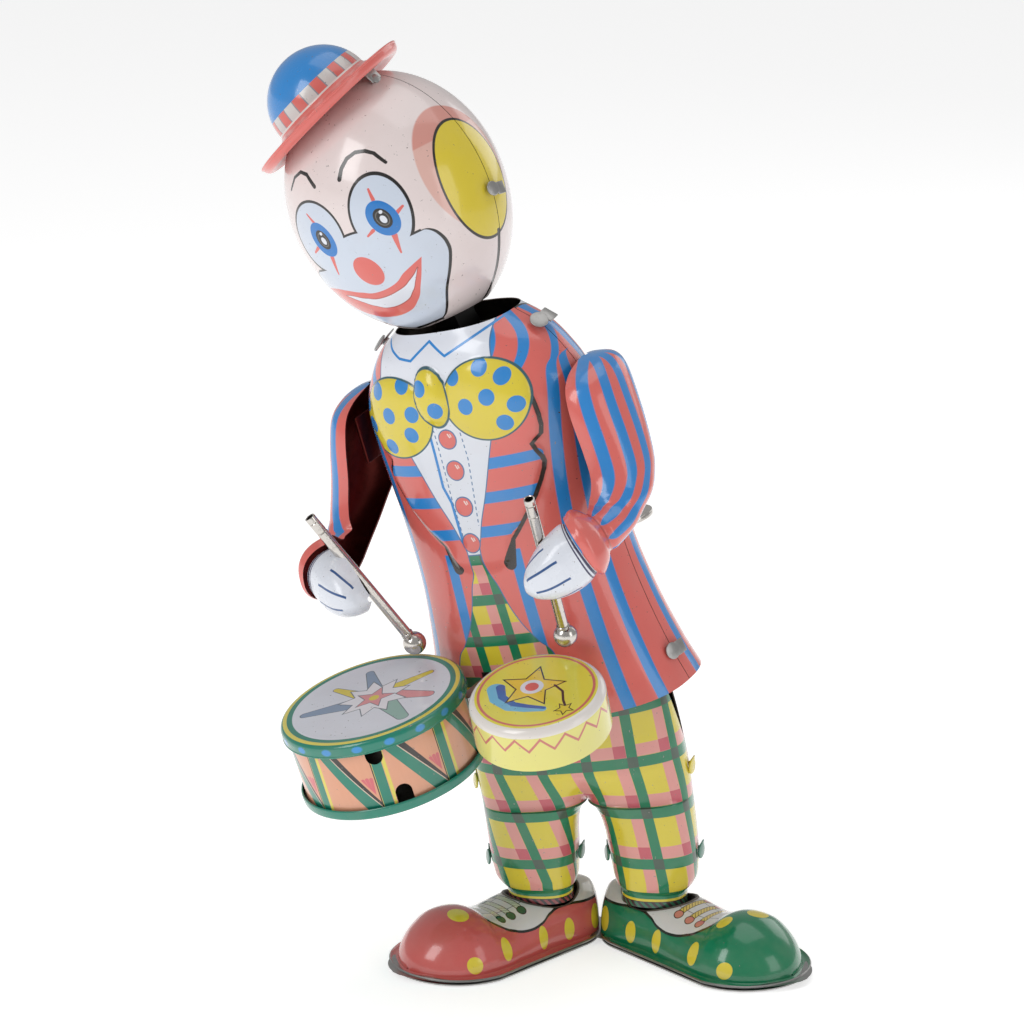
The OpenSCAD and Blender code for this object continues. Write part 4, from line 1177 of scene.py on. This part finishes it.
def trouser_half(front):
    levels = np.concatenate([
        np.arange(11.4, 17, 0.35), np.arange(17, 33, 0.8), np.arange(33, 37.4, 0.2),
        np.arange(37.4, 46, 0.5), np.arange(46, 71.1, 1.0)
    ])
    count = 61
    rows, prints = [], []
    for z in levels:
        inner, outer, near, far = at(LEGS, z)
        half, hip_near, hip_far = at(HIPS, max(z, 36))
        mid, wide = (inner + outer) / 2, (outer - inner) / 2
        depth, hip_depth = (near, hip_near) if front else (far, hip_far)
        g = float(np.clip((z - 36.6) / 9, 0, 1)) ** 0.5
        edge = 24 * max(0.0, (z - 50) / 21)
        line = []
        for j in range(count):
            t = j / (count - 1)
            lx, ly = ring(180 * (1 - t), wide, depth, 2.4)
            hx, hy = ring(90 - (90 - edge) * t, half, hip_depth, 2.6)
            line.append(((mid + lx) * (1 - g) + hx * g, ly * (1 - g) + hy * g))
        line = np.array(line)
        s = arcs(line)
        start = line[:, 0]
        # where the sheet turns to the side the print runs on by its length, not its width
        flat = np.concatenate([[0], np.cumsum(np.abs(np.diff(start)))])
        u = start[0] + flat + np.maximum(0, (s - s[count // 2]) - (flat - flat[count // 2]))
        u = u - np.maximum(0, (s[count // 2] - s) - (flat[count // 2] - flat)) * (1 - g)
        y = -line[:, 1] if front else line[:, 1]
        y = np.minimum(y, -SEAM) if front else np.maximum(y, SEAM)
        right = np.column_stack([-line[::-1, 0], y[::-1], np.full(count, z)])
        left = np.column_stack([line[:, 0], y, np.full(count, z)])
        rows.append(np.concatenate([right, left]))
        up = np.concatenate([-u[::-1], u])
        prints.append(np.column_stack([up, np.full(2 * count, z), np.full(2 * count, 0.0)]))
    rows, prints = lean(np.array(rows)), np.array(prints)
    hole = no_holes(rows)
    hole[:, count - 1] = True
    name = "trousers_front" if front else "trousers_back"
    half = shell(
        name + "_skin", rows, GROUND, [TROUSERS, INSIDE], False, TIN, prints, (0, -1 if front else 1, 0),
        hole=hole
    )
    return fit(half, "base", "trouser_tin", name)


trouser_half(True)
trouser_half(False)

leg_ears = {"yellow": [], "green": []}
for z, leg, out in ((43, 1, 1), (43, -1, 1), (23, 1, 1), (22, -1, 1), (23, 1, -1), (23, -1, -1)):
    inner, outer, _, _ = at(LEGS, z)
    edge = at(HIPS, z)[0] if z > 37 else (outer if out > 0 else inner)
    p = lean(np.array([leg * edge, 0, z]))
    leg_ears["yellow" if z > 37 else "green"] += ear(p, (leg * out, 0, 0), (0, 1, 0), 0.95)
fit(solid("hip_ears", leg_ears["yellow"], GROUND, YELLOW_INK, 0.14), "base", "trouser_tin", "trouser_tabs")
fit(solid("leg_ears", leg_ears["green"], GROUND, TEAL_INK, 0.14), "base", "green_tin", "trouser_tabs")

# ---------- Shoes ----------

SHOE_ROWS = [
    [-15.4, 0.6, 10.4, 2.6], [-15, 3.2, 11, 2.6], [-13.6, 6.2, 11.8, 2.6], [-11, 8.6, 12.3, 2.6],
    [-6, 10, 12.6, 2.6], [4, 10.6, 12.2, 2.6], [9, 11.6, 11.4, 2.4], [15, 12.4, 10.2, 2.2],
    [19, 13.2, 10.6, 2.1], [24, 13.8, 12.6, 2.1], [29, 13.6, 12.6, 2.1], [33, 12.2, 11, 2], [36, 10, 9, 2],
    [38.4, 7.2, 6.6, 2], [40, 4, 4, 2], [40.8, 0.7, 1.2, 2]
]
FLOOR_Z = 0.95
SHOE_MID = 13
OPENING = (9.6, 8.2, 2.3)


def shoe_height(x, y):
    half, top, power = at(SHOE_ROWS, x)
    return FLOOR_Z + top * max(0.0, 1 - min(1.0, abs(y) / half) ** power) ** (1 / power)


def from_ankle(p):
    """Under 1 inside the shoe's opening."""
    half, wide, power = OPENING
    return (np.abs(p[..., 0]) / half) ** power + (np.abs(p[..., 1]) / wide) ** power


def radius_to(loop, angle):
    """Distance from the loop's own middle to its edge, at an angle."""
    direction = np.array([cos(angle), sin(angle)])
    best = 0.0
    for a, b in zip(loop, np.roll(loop, -1, axis=0)):
        e = b - a
        det = direction[0] * -e[1] + direction[1] * e[0]
        if abs(det) < 1e-9:
            continue
        t = (a[0] * -e[1] + a[1] * e[0]) / det
        s = (direction[0] * a[1] - direction[1] * a[0]) / det
        if t > 0 and -1e-6 <= s <= 1 + 1e-6:
            best = max(best, t)
    return best


def shoe(leg, skin, collar_ink, slot):
    side = SIDE_NAME[leg]
    table = smooth(SHOE_ROWS, 6)
    rows = []
    for x, half, top, power in table:
        rows.append([(x, *ring(180 * j / 90, max(half, 0.3), max(top, 0.5), power)) for j in range(91)])
    rows = np.array(rows)
    rows[..., 2] += FLOOR_Z
    # crease behind the toe cap
    crease = np.exp(-(((rows[..., 0] - 20.5 - np.abs(rows[..., 1]) * 0.12) / 0.8) ** 2)) * 0.35
    rows[..., 2] -= crease * (rows[..., 2] > 6)

    def onto(p):
        d = from_ankle(p) ** (1 / OPENING[2])
        x, y = p[:, 0] / np.maximum(d, 0.01), p[:, 1] / np.maximum(d, 0.01)
        return np.column_stack([x, y, [shoe_height(a, b) for a, b in zip(x, y)]])

    hole = cut(rows, lambda p: (from_ankle(p) < 1) & (p[..., 2] > 5), onto)
    upper = shell(
        f"shoe_{side}_upper", rows, SHOE[leg], [skin, INSIDE], False, TIN, None, (0, 0, 1), hole=hole
    )
    fit(upper, "base", slot, f"shoe_{side}")
    edge = [(x - SHOE_MID, half) for x, half, _, _ in table]
    body_loop = np.array(edge + [(x, -half) for x, half in edge[::-1]])
    # the sole: a small arc round the heel and a large one round the toe
    heel, toe = -3 - SHOE_MID, 25.5 - SHOE_MID
    hull = [(heel + 12.1 * cos(a), 12.1 * sin(a)) for a in np.linspace(
        pi / 2 + 0.09, 3 * pi / 2 - 0.09, 40
    )]
    hull += [(toe + 16.5 * cos(a), 16.5 * sin(a)) for a in np.linspace(-pi / 2 + 0.09, pi / 2, 60)]
    sole_loop = np.array(hull)
    angles = np.linspace(0, 2 * pi, 181)[:-1]

    def level(r, height):
        return np.column_stack([
            SHOE_MID + r * np.cos(angles), r * np.sin(angles), np.full(len(angles), height)
        ])

    inner = np.array([radius_to(body_loop, a) for a in angles])
    outer = np.array([radius_to(sole_loop, a) for a in angles])
    path = [
        (0.0, -0.35, 2.1), (0.0, -0.12, 1.6), (0.0, 0.25, 1.3), (0.0, 0.8, 1.18), (0.5, 0.2, 1.15),
        (1.0, -0.9, 1.15), (1.0, -0.35, 1.28), (1.0, 0.0, 1.62)
    ]
    welt = []
    for share, offset, height in path:
        r = inner + (outer - inner) * share + offset
        welt.append(level(r, height))
    rim = shell(
        f"shoe_{side}_welt", np.array(welt), SHOE[leg], [skin, TINPLATE], True, 0.4, None, (0, 0, 1)
    )
    fit(rim, "base", slot)
    collar = []
    for scale, drop in ((1.0, -0.12), (0.985, 0.05), (0.965, 0.0), (0.95, -0.6), (0.93, -1.6), (0.9, -3.0)):
        line = []
        for a in np.linspace(0, 2 * pi, 97)[:-1]:
            x, y = ring(degrees(a), OPENING[0] * scale, OPENING[1] * scale, OPENING[2])
            x0, y0 = ring(degrees(a), *OPENING)
            line.append((x, y, shoe_height(x0, y0) + drop + 0.12))
        collar.append(line)
    fit(shell(f"shoe_{side}_collar", collar, SHOE[leg], [collar_ink, INSIDE], True, 0.3), "base", slot)
    plate = []
    for share, height in (
        (0.0, 0.62), (0.9, 0.62), (0.985, 0.6), (1.0, 0.45), (1.0, 0.15), (0.985, 0.02), (0.9, 0.0),
        (0.0, 0.0)
    ):
        r = outer * share
        plate.append(level(r, height))
    sole = shell(f"sole_{side}_plate", plate, SHOE[leg], [TINPLATE], True, 0)
    fit(sole, "base", "bare_tin", f"sole_{side}")


shoe(-1, RED_SHOE, TEAL_INK, "red_shoe_tin")
shoe(1, GREEN_SHOE, PINK_INK, "green_tin")

# ---------- Drums ----------


def cap_profile(r, h, round_, skirt):
    edge = arc(r - round_, h - round_, round_, np.linspace(90, 0, 10))
    face = [(q, h) for q in np.linspace(0, r - round_ - 0.2, 24)]
    wall = [(r, q) for q in np.linspace(h - round_ - 0.2, skirt, 16)]
    return face + edge + wall


rows = lathe(cap_profile(BIG_R, BIG_H, 1.4, BIG_H - 3), 180)
# the drum head sinks a little inside its ring
SUNK_R = 19
from_middle = np.hypot(rows[..., 0], rows[..., 1])
rows[..., 2] -= (from_middle < SUNK_R) * 0.12 * soft_step((SUNK_R - from_middle) / 2)
fit(
    shell("big_drum_top", rows, BIG_DRUM, [BIG_HEAD, INSIDE], True, 0.45, None, (0, 0, 1)), "torso",
    "green_tin", "big_drum_head"
)
curl = arc(BIG_R - 0.15, BIG_H - 3, 0.28, CURL)
fit(shell("big_drum_top_curl", lathe(curl, 180), BIG_DRUM, [GREEN_INK], True, 0), "torso", "green_tin")

side_r = BIG_R - 1.1
side_rows = lathe([(side_r, z) for z in np.linspace(TIN, BIG_H - 2 * TIN, 92)], 480)
place = np.arctan2(side_rows[..., 1], side_rows[..., 0])
side_print = np.dstack([(place + radians(62)) * side_r + 1.2, side_rows[..., 2], place * 0])


def notch(angle, low, high):
    """A round-ended slot in the drum's side, open at one end."""
    middle = radians(angle)
    r = 2.0
    up = high > BIG_H - 4

    def inside(p):
        u = (np.arctan2(p[..., 1], p[..., 0]) - middle + pi) % (2 * pi) - pi
        u = u * side_r
        centre = low + r if up else high - r
        straight = (np.abs(u) < r) & ((p[..., 2] > centre) if up else (p[..., 2] < centre))
        return (straight & (p[..., 2] > low) & (p[..., 2] < high)) | (np.hypot(u, p[..., 2] - centre) < r)

    def onto(p):
        u = ((np.arctan2(p[:, 1], p[:, 0]) - middle + pi) % (2 * pi) - pi) * side_r
        centre = low + r if up else high - r
        beyond = (p[:, 2] > centre) if up else (p[:, 2] < centre)
        d = np.maximum(np.hypot(u, p[:, 2] - centre), 0.01)
        new_u = np.where(beyond, np.sign(u + 1e-9) * r, u / d * r)
        new_z = np.where(beyond, p[:, 2], centre + (p[:, 2] - centre) / d * r)
        a = middle + new_u / side_r
        return np.column_stack([side_r * np.cos(a), side_r * np.sin(a), new_z])

    return cut(side_rows, inside, onto)


holes = no_holes(side_rows)
for angle, low, high in ((-62, 13.2, 18.5), (-51, 1.0, 6.6), (118, 13.2, 18.5), (129, 1.0, 6.6)):
    holes |= notch(angle, low, high)
drum_side = shell(
    "big_drum_side", side_rows, BIG_DRUM, [BIG_SIDE, BLACK_STEEL], True, TIN, side_print, hole=holes
)
fit(drum_side, "torso", "drum_side_tin", "big_drum_shell")

base = [(q, 0.0) for q in np.linspace(0, BIG_R - 0.8, 16)]
base += arc(BIG_R - 0.8, 0.8, 0.8, np.linspace(-80, 0, 8))
base += [(BIG_R, 1.4), (BIG_R, 2.2), (BIG_R - 0.08, 2.45), (BIG_R - 0.3, 2.6), (BIG_R - 0.5, 2.5)]
fit(
    shell("big_drum_foot", lathe(base, 180), BIG_DRUM, [GREEN_INK, INSIDE], True, 0.4, None, (0, 0, -1)),
    "torso", "green_tin", "big_drum_base"
)

rows = lathe(cap_profile(SMALL_R, SMALL_H, 2.4, 0.0), 160)
fit(
    shell("small_drum_tin", rows, SMALL_DRUM, [SMALL_CAP, INSIDE], True, 0.45, None, (0, 0, 1)), "torso",
    "drum_yellow_tin", "small_drum_cap"
)
foot = [(1.1, -1.4), (8, -1.4), (12.9, -1.4), (13.6, -1.25), (14, -0.8), (14, -0.1)]
fit(
    shell(
        "small_drum_foot", lathe(smooth(foot, 4), 128), SMALL_DRUM, [GREEN_INK, INSIDE], True, 0.4, None,
        (0, 0, -1)
    ),
    "torso", "green_tin", "small_drum_base"
)
rivet = [
    (0.0, -3.45), (0.8, -3.4), (1.5, -3.15), (1.8, -2.75), (1.8, -2.4), (1.0, -2.35), (1.0, -0.1),
    (0.0, -0.1)
]
fit(
    shell("small_drum_rivet", lathe(rivet, 48), SMALL_DRUM, [NICKEL], True, 0), "torso", "nickel",
    "drum_rivets"
)

# ---------- Arms ----------

# Rows of an open half tube: front edge y and z, back edge y and z, bulge, x of the edges, yaw, splay, then
# a shift.
SLEEVE_ROWS = [
    [-0.2, 6, 1.2, 6, 0.9, 0, 0, 0, 0, 0, 0], [-4, 5.4, 5, 5.4, 4.4, 0, 0, 0, 0, 0, 0],
    [-8.6, 3.8, 8.6, 4, 6.6, 0, 0, 0.3, 0, 0, 0], [-11.6, 0.8, 10.4, 1, 8, 0, 0, 0.8, 0, 0, 0],
    [-12.4, -5, 11, -5, 8.6, 0, 0, 1.6, 0, 0, 0], [-11.4, -14, 10.6, -14, 9, 0, 0, 3, 0, 0, 0],
    [-11.2, -20, 9.6, -21.5, 9.1, 0, 0, 4, 0, 0, 0], [-12, -23.6, 7.4, -25.6, 9, 0, -4, 4.6, 0, 0, 0],
    [-12.6, -25.4, 2.8, -29.8, 8.9, -0.3, -10, 5, 0, 0, 0],
    [-13.2, -26.4, -3, -33, 8.8, -0.7, -16, 5.2, 0, 0, 0],
    [-14.0, -27.0, -8.6, -36, 8.4, -1.2, -24, 5.4, 0, -0.4, 0.2],
    [-15.2, -27.6, -12.6, -37.6, 8.0, -1.7, -32, 5.6, 0, -1, 0.4],
    [-16.2, -28.2, -14.4, -38, 6.9, -2, -38, 5.6, 0, -2, 0.6],
    [-17.4, -26.6, -14.8, -39.8, 8.8, -2, -44, 5.6, 0, -4, 1],
    [-20.4, -25.6, -16.8, -41.6, 9.4, -2.2, -52, 5.2, 0, -5.4, 1.4],
    [-23.2, -26.6, -18.6, -41, 8.4, -2.4, -56, 4.4, 0, -6.2, 1.6]
]
GLOVE_ROWS = [
    [-23.4, -27.8, -19.0, -40.2, 7.4, -2.4, -58, 4.2, 0, -6.4, 1.6],
    [-26.4, -27.0, -22.8, -41.4, 7.8, -2.6, -62, 2.6, -0.4, -6.6, 1.6],
    [-31, -26.8, -28.6, -41.4, 8, -2.8, -66, 0.4, -1, -6.8, 1.4],
    [-36, -27.2, -34.6, -40.0, 7.6, -3, -68, -2, -1.8, -7, 1],
    [-40.6, -28.2, -40.4, -37.4, 6.2, -3, -70, -4.2, -2.6, -7, 0.6],
    [-43.6, -30.0, -43.8, -34.8, 4, -3, -70, -5.6, -3, -7, 0.4],
    [-44.8, -31.8, -44.9, -33.2, 0.9, -3, -70, -6.4, -3, -7, 0.4]
]


def limb(table, per, count):
    """Grid of an open half tube, and its print: share round it, place along the rows, and girth."""
    rows, prints = [], []
    for i, (y0, z0, y1, z1, bulge, edge, yaw, splay, dx, dy, dz) in enumerate(smooth(table, per)):
        a, b = np.array([y0, z0]), np.array([y1, z1])
        half = np.linalg.norm(b - a) / 2
        across = (b - a) / (2 * half)
        middle = (a + b) / 2
        c, s = cos(radians(yaw)), sin(radians(yaw))
        line = []
        for j in range(count):
            px, py = ring(180 * j / (count - 1), half, bulge, 2.4)
            q = middle - across * px
            u, v = py + edge - 3, q[0] - middle[0]
            line.append((
                u * c - v * s + 3 + splay + dx, u * s + v * c + middle[0] - 1.53 * splay + dy,
                q[1] + 0.53 * splay + dz
            ))
        line = np.array(line)
        lengths = arcs(line)
        rows.append(line)
        prints.append(np.column_stack([
            lengths / lengths[-1], np.full(count, i / per), np.full(count, lengths[-1])
        ]))
    return np.array(rows), np.array(prints)


for side in (-1, 1):
    name, body = SIDE_NAME[side], SIDE_NAME[side] + "_arm"
    rows, prints = limb(SLEEVE_ROWS, 8, 81)
    # soft folds inside the elbow
    fold = np.sin(prints[..., 1] * 3.2 + prints[..., 0] * 3) * np.exp(-(((prints[..., 1] - 9) / 2) ** 2))
    rows[..., 0] += 0.22 * fold * soft_step(prints[..., 0] * 6) * soft_step((1 - prints[..., 0]) * 6)
    fit(
        shell(f"sleeve_{name}_tin", rows, ARM[side], [SLEEVE, BROWN_STEEL], False, TIN, prints, (1, 0, 0)),
        body, "coat_tin", f"sleeve_{name}"
    )
    rows, flat = limb(GLOVE_ROWS, 10, 81)
    # a pressed line between each two fingers
    for share, first, last in FINGERS:
        near = np.abs(flat[..., 0] - share) * flat[..., 2]
        span = soft_step((flat[..., 1] - first) * 3) * soft_step((last - flat[..., 1]) * 3)
        rows[..., 0] -= 0.3 * np.exp(-((near / 0.6) ** 2)) * span
    fit(
        shell(f"glove_{name}_tin", rows, ARM[side], [GLOVE, INSIDE], False, TIN, flat, (0.6, -0.8, 0)),
        body, "glove_tin", f"glove_{name}"
    )
    fit(
        solid(
            f"shoulder_{name}_plate",
            [("box", (0.7, 0, -5.25), (0.8, 19.2, 11.5)), ("rod", (-0.4, 0, 0), (1.5, 0, 0), 2.4)],
            ARM[side], BROWN_STEEL, 0.15
        ),
        body, "coat_tin", f"shoulder_plate_{name}"
    )
    tube = [
        (STICK_R - 0.35, -6), (STICK_R - 0.35, -0.1), (STICK_R - 0.2, 0), (STICK_R - 0.05, -0.05),
        (STICK_R, -0.25), (STICK_R, -1.5), (STICK_R - 0.12, -1.65), (STICK_R, -1.8), (STICK_R, -4.6),
        (STICK_R - 0.12, -4.8), (STICK_R, -5.0), (STICK_R, -20), (STICK_R, -STICK_LEN)
    ]
    rows = lathe(tube, 64)
    groove = np.exp(-((np.arctan2(rows[..., 1], rows[..., 0]) - 0.6) ** 2) / 0.006)
    rows[4:, :, :2] *= (1 - 0.1 * groove[4:])[..., None]
    fit(
        shell(f"stick_{name}_tube", rows, STICK[side], [NICKEL], True, 0, None, None, 30), body, "nickel",
        f"stick_{name}"
    )
    ball = [(2.8 * sin(radians(a)), -STICK_LEN + 2.8 * cos(radians(a))) for a in np.linspace(26, 180, 60)]
    ball = [(1.35, -STICK_LEN + 3.4), (1.55, -STICK_LEN + 3.2), (1.5, -STICK_LEN + 2.8)] + ball
    fit(
        shell(f"stick_{name}_ball", lathe(ball, 64), STICK[side], [NICKEL], True, 0), body, "nickel",
        f"stick_ball_{name}"
    )

# ---------- Key ----------


def key_bow():
    """Flat bow with two finger holes, cut from folded tin."""
    lobe, finger = 7, 3.4
    data = bpy.data.curves.new("key_bow", "CURVE")
    data.dimensions = "2D"
    data.fill_mode = "BOTH"
    outline = [(lobe + lobe * cos(a), lobe * sin(a)) for a in np.linspace(-2.1, 2.1, 40)]
    outline += [(-lobe + lobe * cos(a), lobe * sin(a)) for a in np.linspace(pi - 2.1, pi + 2.1, 40)]
    holes = [[(s * lobe + finger * cos(a), finger * sin(a)) for a in np.linspace(0, 2 * pi, 41)[:-1]]
             for s in (-1, 1)]
    for loop in [outline, *holes]:
        spline = data.splines.new("POLY")
        spline.points.add(len(loop) - 1)
        for point, (x, y) in zip(spline.points, loop):
            point.co = (x, y, 0, 1)
        spline.use_cyclic_u = True
    data.extrude = 0.42
    data.bevel_depth = 0.18
    data.bevel_resolution = 2
    obj = stand("key_bow_curve", data)
    depsgraph = bpy.context.evaluated_depsgraph_get()
    mesh = bpy.data.meshes.new_from_object(obj.evaluated_get(depsgraph), depsgraph=depsgraph)
    bpy.data.objects.remove(obj)
    count = len(mesh.vertices) * 3
    co = np.empty(count, dtype=np.float32)
    mesh.vertices.foreach_get("co", co)
    for label in ("print", "place"):
        tag(mesh, label, co)
    mesh.transform(Matrix.Scale(MM, 4) @ TORSO @ move(0, 34, 34))
    mesh.materials.append(NICKEL)
    bow = stand("key_bow", mesh)
    mesh.shade_smooth()
    mesh.set_sharp_from_angle(angle=radians(35))
    return bow


fit(key_bow(), "drive", "nickel", "key")
stem = [
    (1.55, 19.4), (2.3, 19.4), (2.6, 19.7), (2.6, 25.2), (2.3, 25.6), (2.6, 26.0), (2.6, 28.6), (2.1, 29.4),
    (0.9, 29.8), (0.0, 29.8)
]
barrel = shell("key_barrel", lathe(stem, 64), TORSO @ move(0, 0, 34) @ turn("X", -90), [NICKEL], True, 0)
fit(barrel, "drive", "nickel")

# ---------- CAD parts that stay ----------

STEEL = cad_metal("plain steel", "a6a4a1", 0.33)
BRASS = cad_metal("stamped brass", "b58a42", 0.3, "5a3d18")
SPRING = cad_metal("blue spring steel", "4a5260", 0.3)
DARK = cad_metal("black oxide", "1f1d1c", 0.42)
for node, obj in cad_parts.items():
    if obj.hide_render:
        continue
    if node in ("great_wheel", "second_wheel", "third_wheel"):
        material = BRASS
    elif node == "mainspring":
        material = SPRING
    elif node in ("neck_stem", "governor_disc"):
        material = DARK
    else:
        material = STEEL
    obj.data.materials.clear()
    obj.data.materials.append(material)

# ---------- Studio ----------


def stage_floor():
    mesh = bpy.data.meshes.new("floor")
    mesh.from_pydata(
        [(-30, -30, -0.0002), (30, -30, -0.0002), (30, 30, -0.0002), (-30, 30, -0.0002)], [], [(0, 1, 2, 3)]
    )
    floor = stand("floor", mesh)
    material = bpy.data.materials.new("white paper")
    material.use_nodes = True
    shader = material.node_tree.nodes["Principled BSDF"]
    shader.inputs["Base Color"].default_value = (0.95, 0.95, 0.95, 1)
    shader.inputs["Roughness"].default_value = 0.6
    shader.inputs["Emission Color"].default_value = (1, 1, 1, 1)
    shader.inputs["Emission Strength"].default_value = 0.5
    mesh.materials.append(material)


stage_floor()


def lamp(name, position, target, size, power, size_y=None):
    data = bpy.data.lights.new(name, "AREA")
    data.shape = "RECTANGLE"
    data.size, data.size_y = size, size_y or size
    data.energy = power
    obj = stand(name, data)
    obj.location = position
    obj.rotation_euler = (Vector(target) - Vector(position)).to_track_quat("-Z", "Y").to_euler()


MIDDLE = (0.0, 0.01, 0.11)
lamp("key", (-0.75, -0.75, 0.75), MIDDLE, 0.45, 4.2, 0.7)
lamp("fill", (0.95, -0.55, 0.45), MIDDLE, 0.4, 1.4, 0.7)
lamp("top", (0.1, 0.15, 1.1), MIDDLE, 0.8, 2.0)
lamp("rim", (0.6, 0.8, 0.5), MIDDLE, 0.5, 0.9)

world = bpy.context.scene.world or bpy.data.worlds.new("studio")
bpy.context.scene.world = world
world.use_nodes = True
sky = world.node_tree.nodes["Background"]
sky.inputs["Color"].default_value = (1, 1, 1, 1)
sky.inputs["Strength"].default_value = 0.4

camera_data = bpy.data.cameras.new("camera")
camera_data.lens = 133
camera_data.sensor_width = 36
camera = stand("camera", camera_data)
target = Vector((-0.007698, 0.009804, 0.1075))
azimuth, elevation, distance = radians(5), radians(15), 0.9
direction = Vector((sin(azimuth) * cos(elevation), -cos(azimuth) * cos(elevation), sin(elevation)))
camera.location = target + direction * distance
camera.rotation_euler = (-direction).to_track_quat("-Z", "Y").to_euler()
bpy.context.scene.camera = camera
bpy.context.scene.view_settings.view_transform = "Standard"
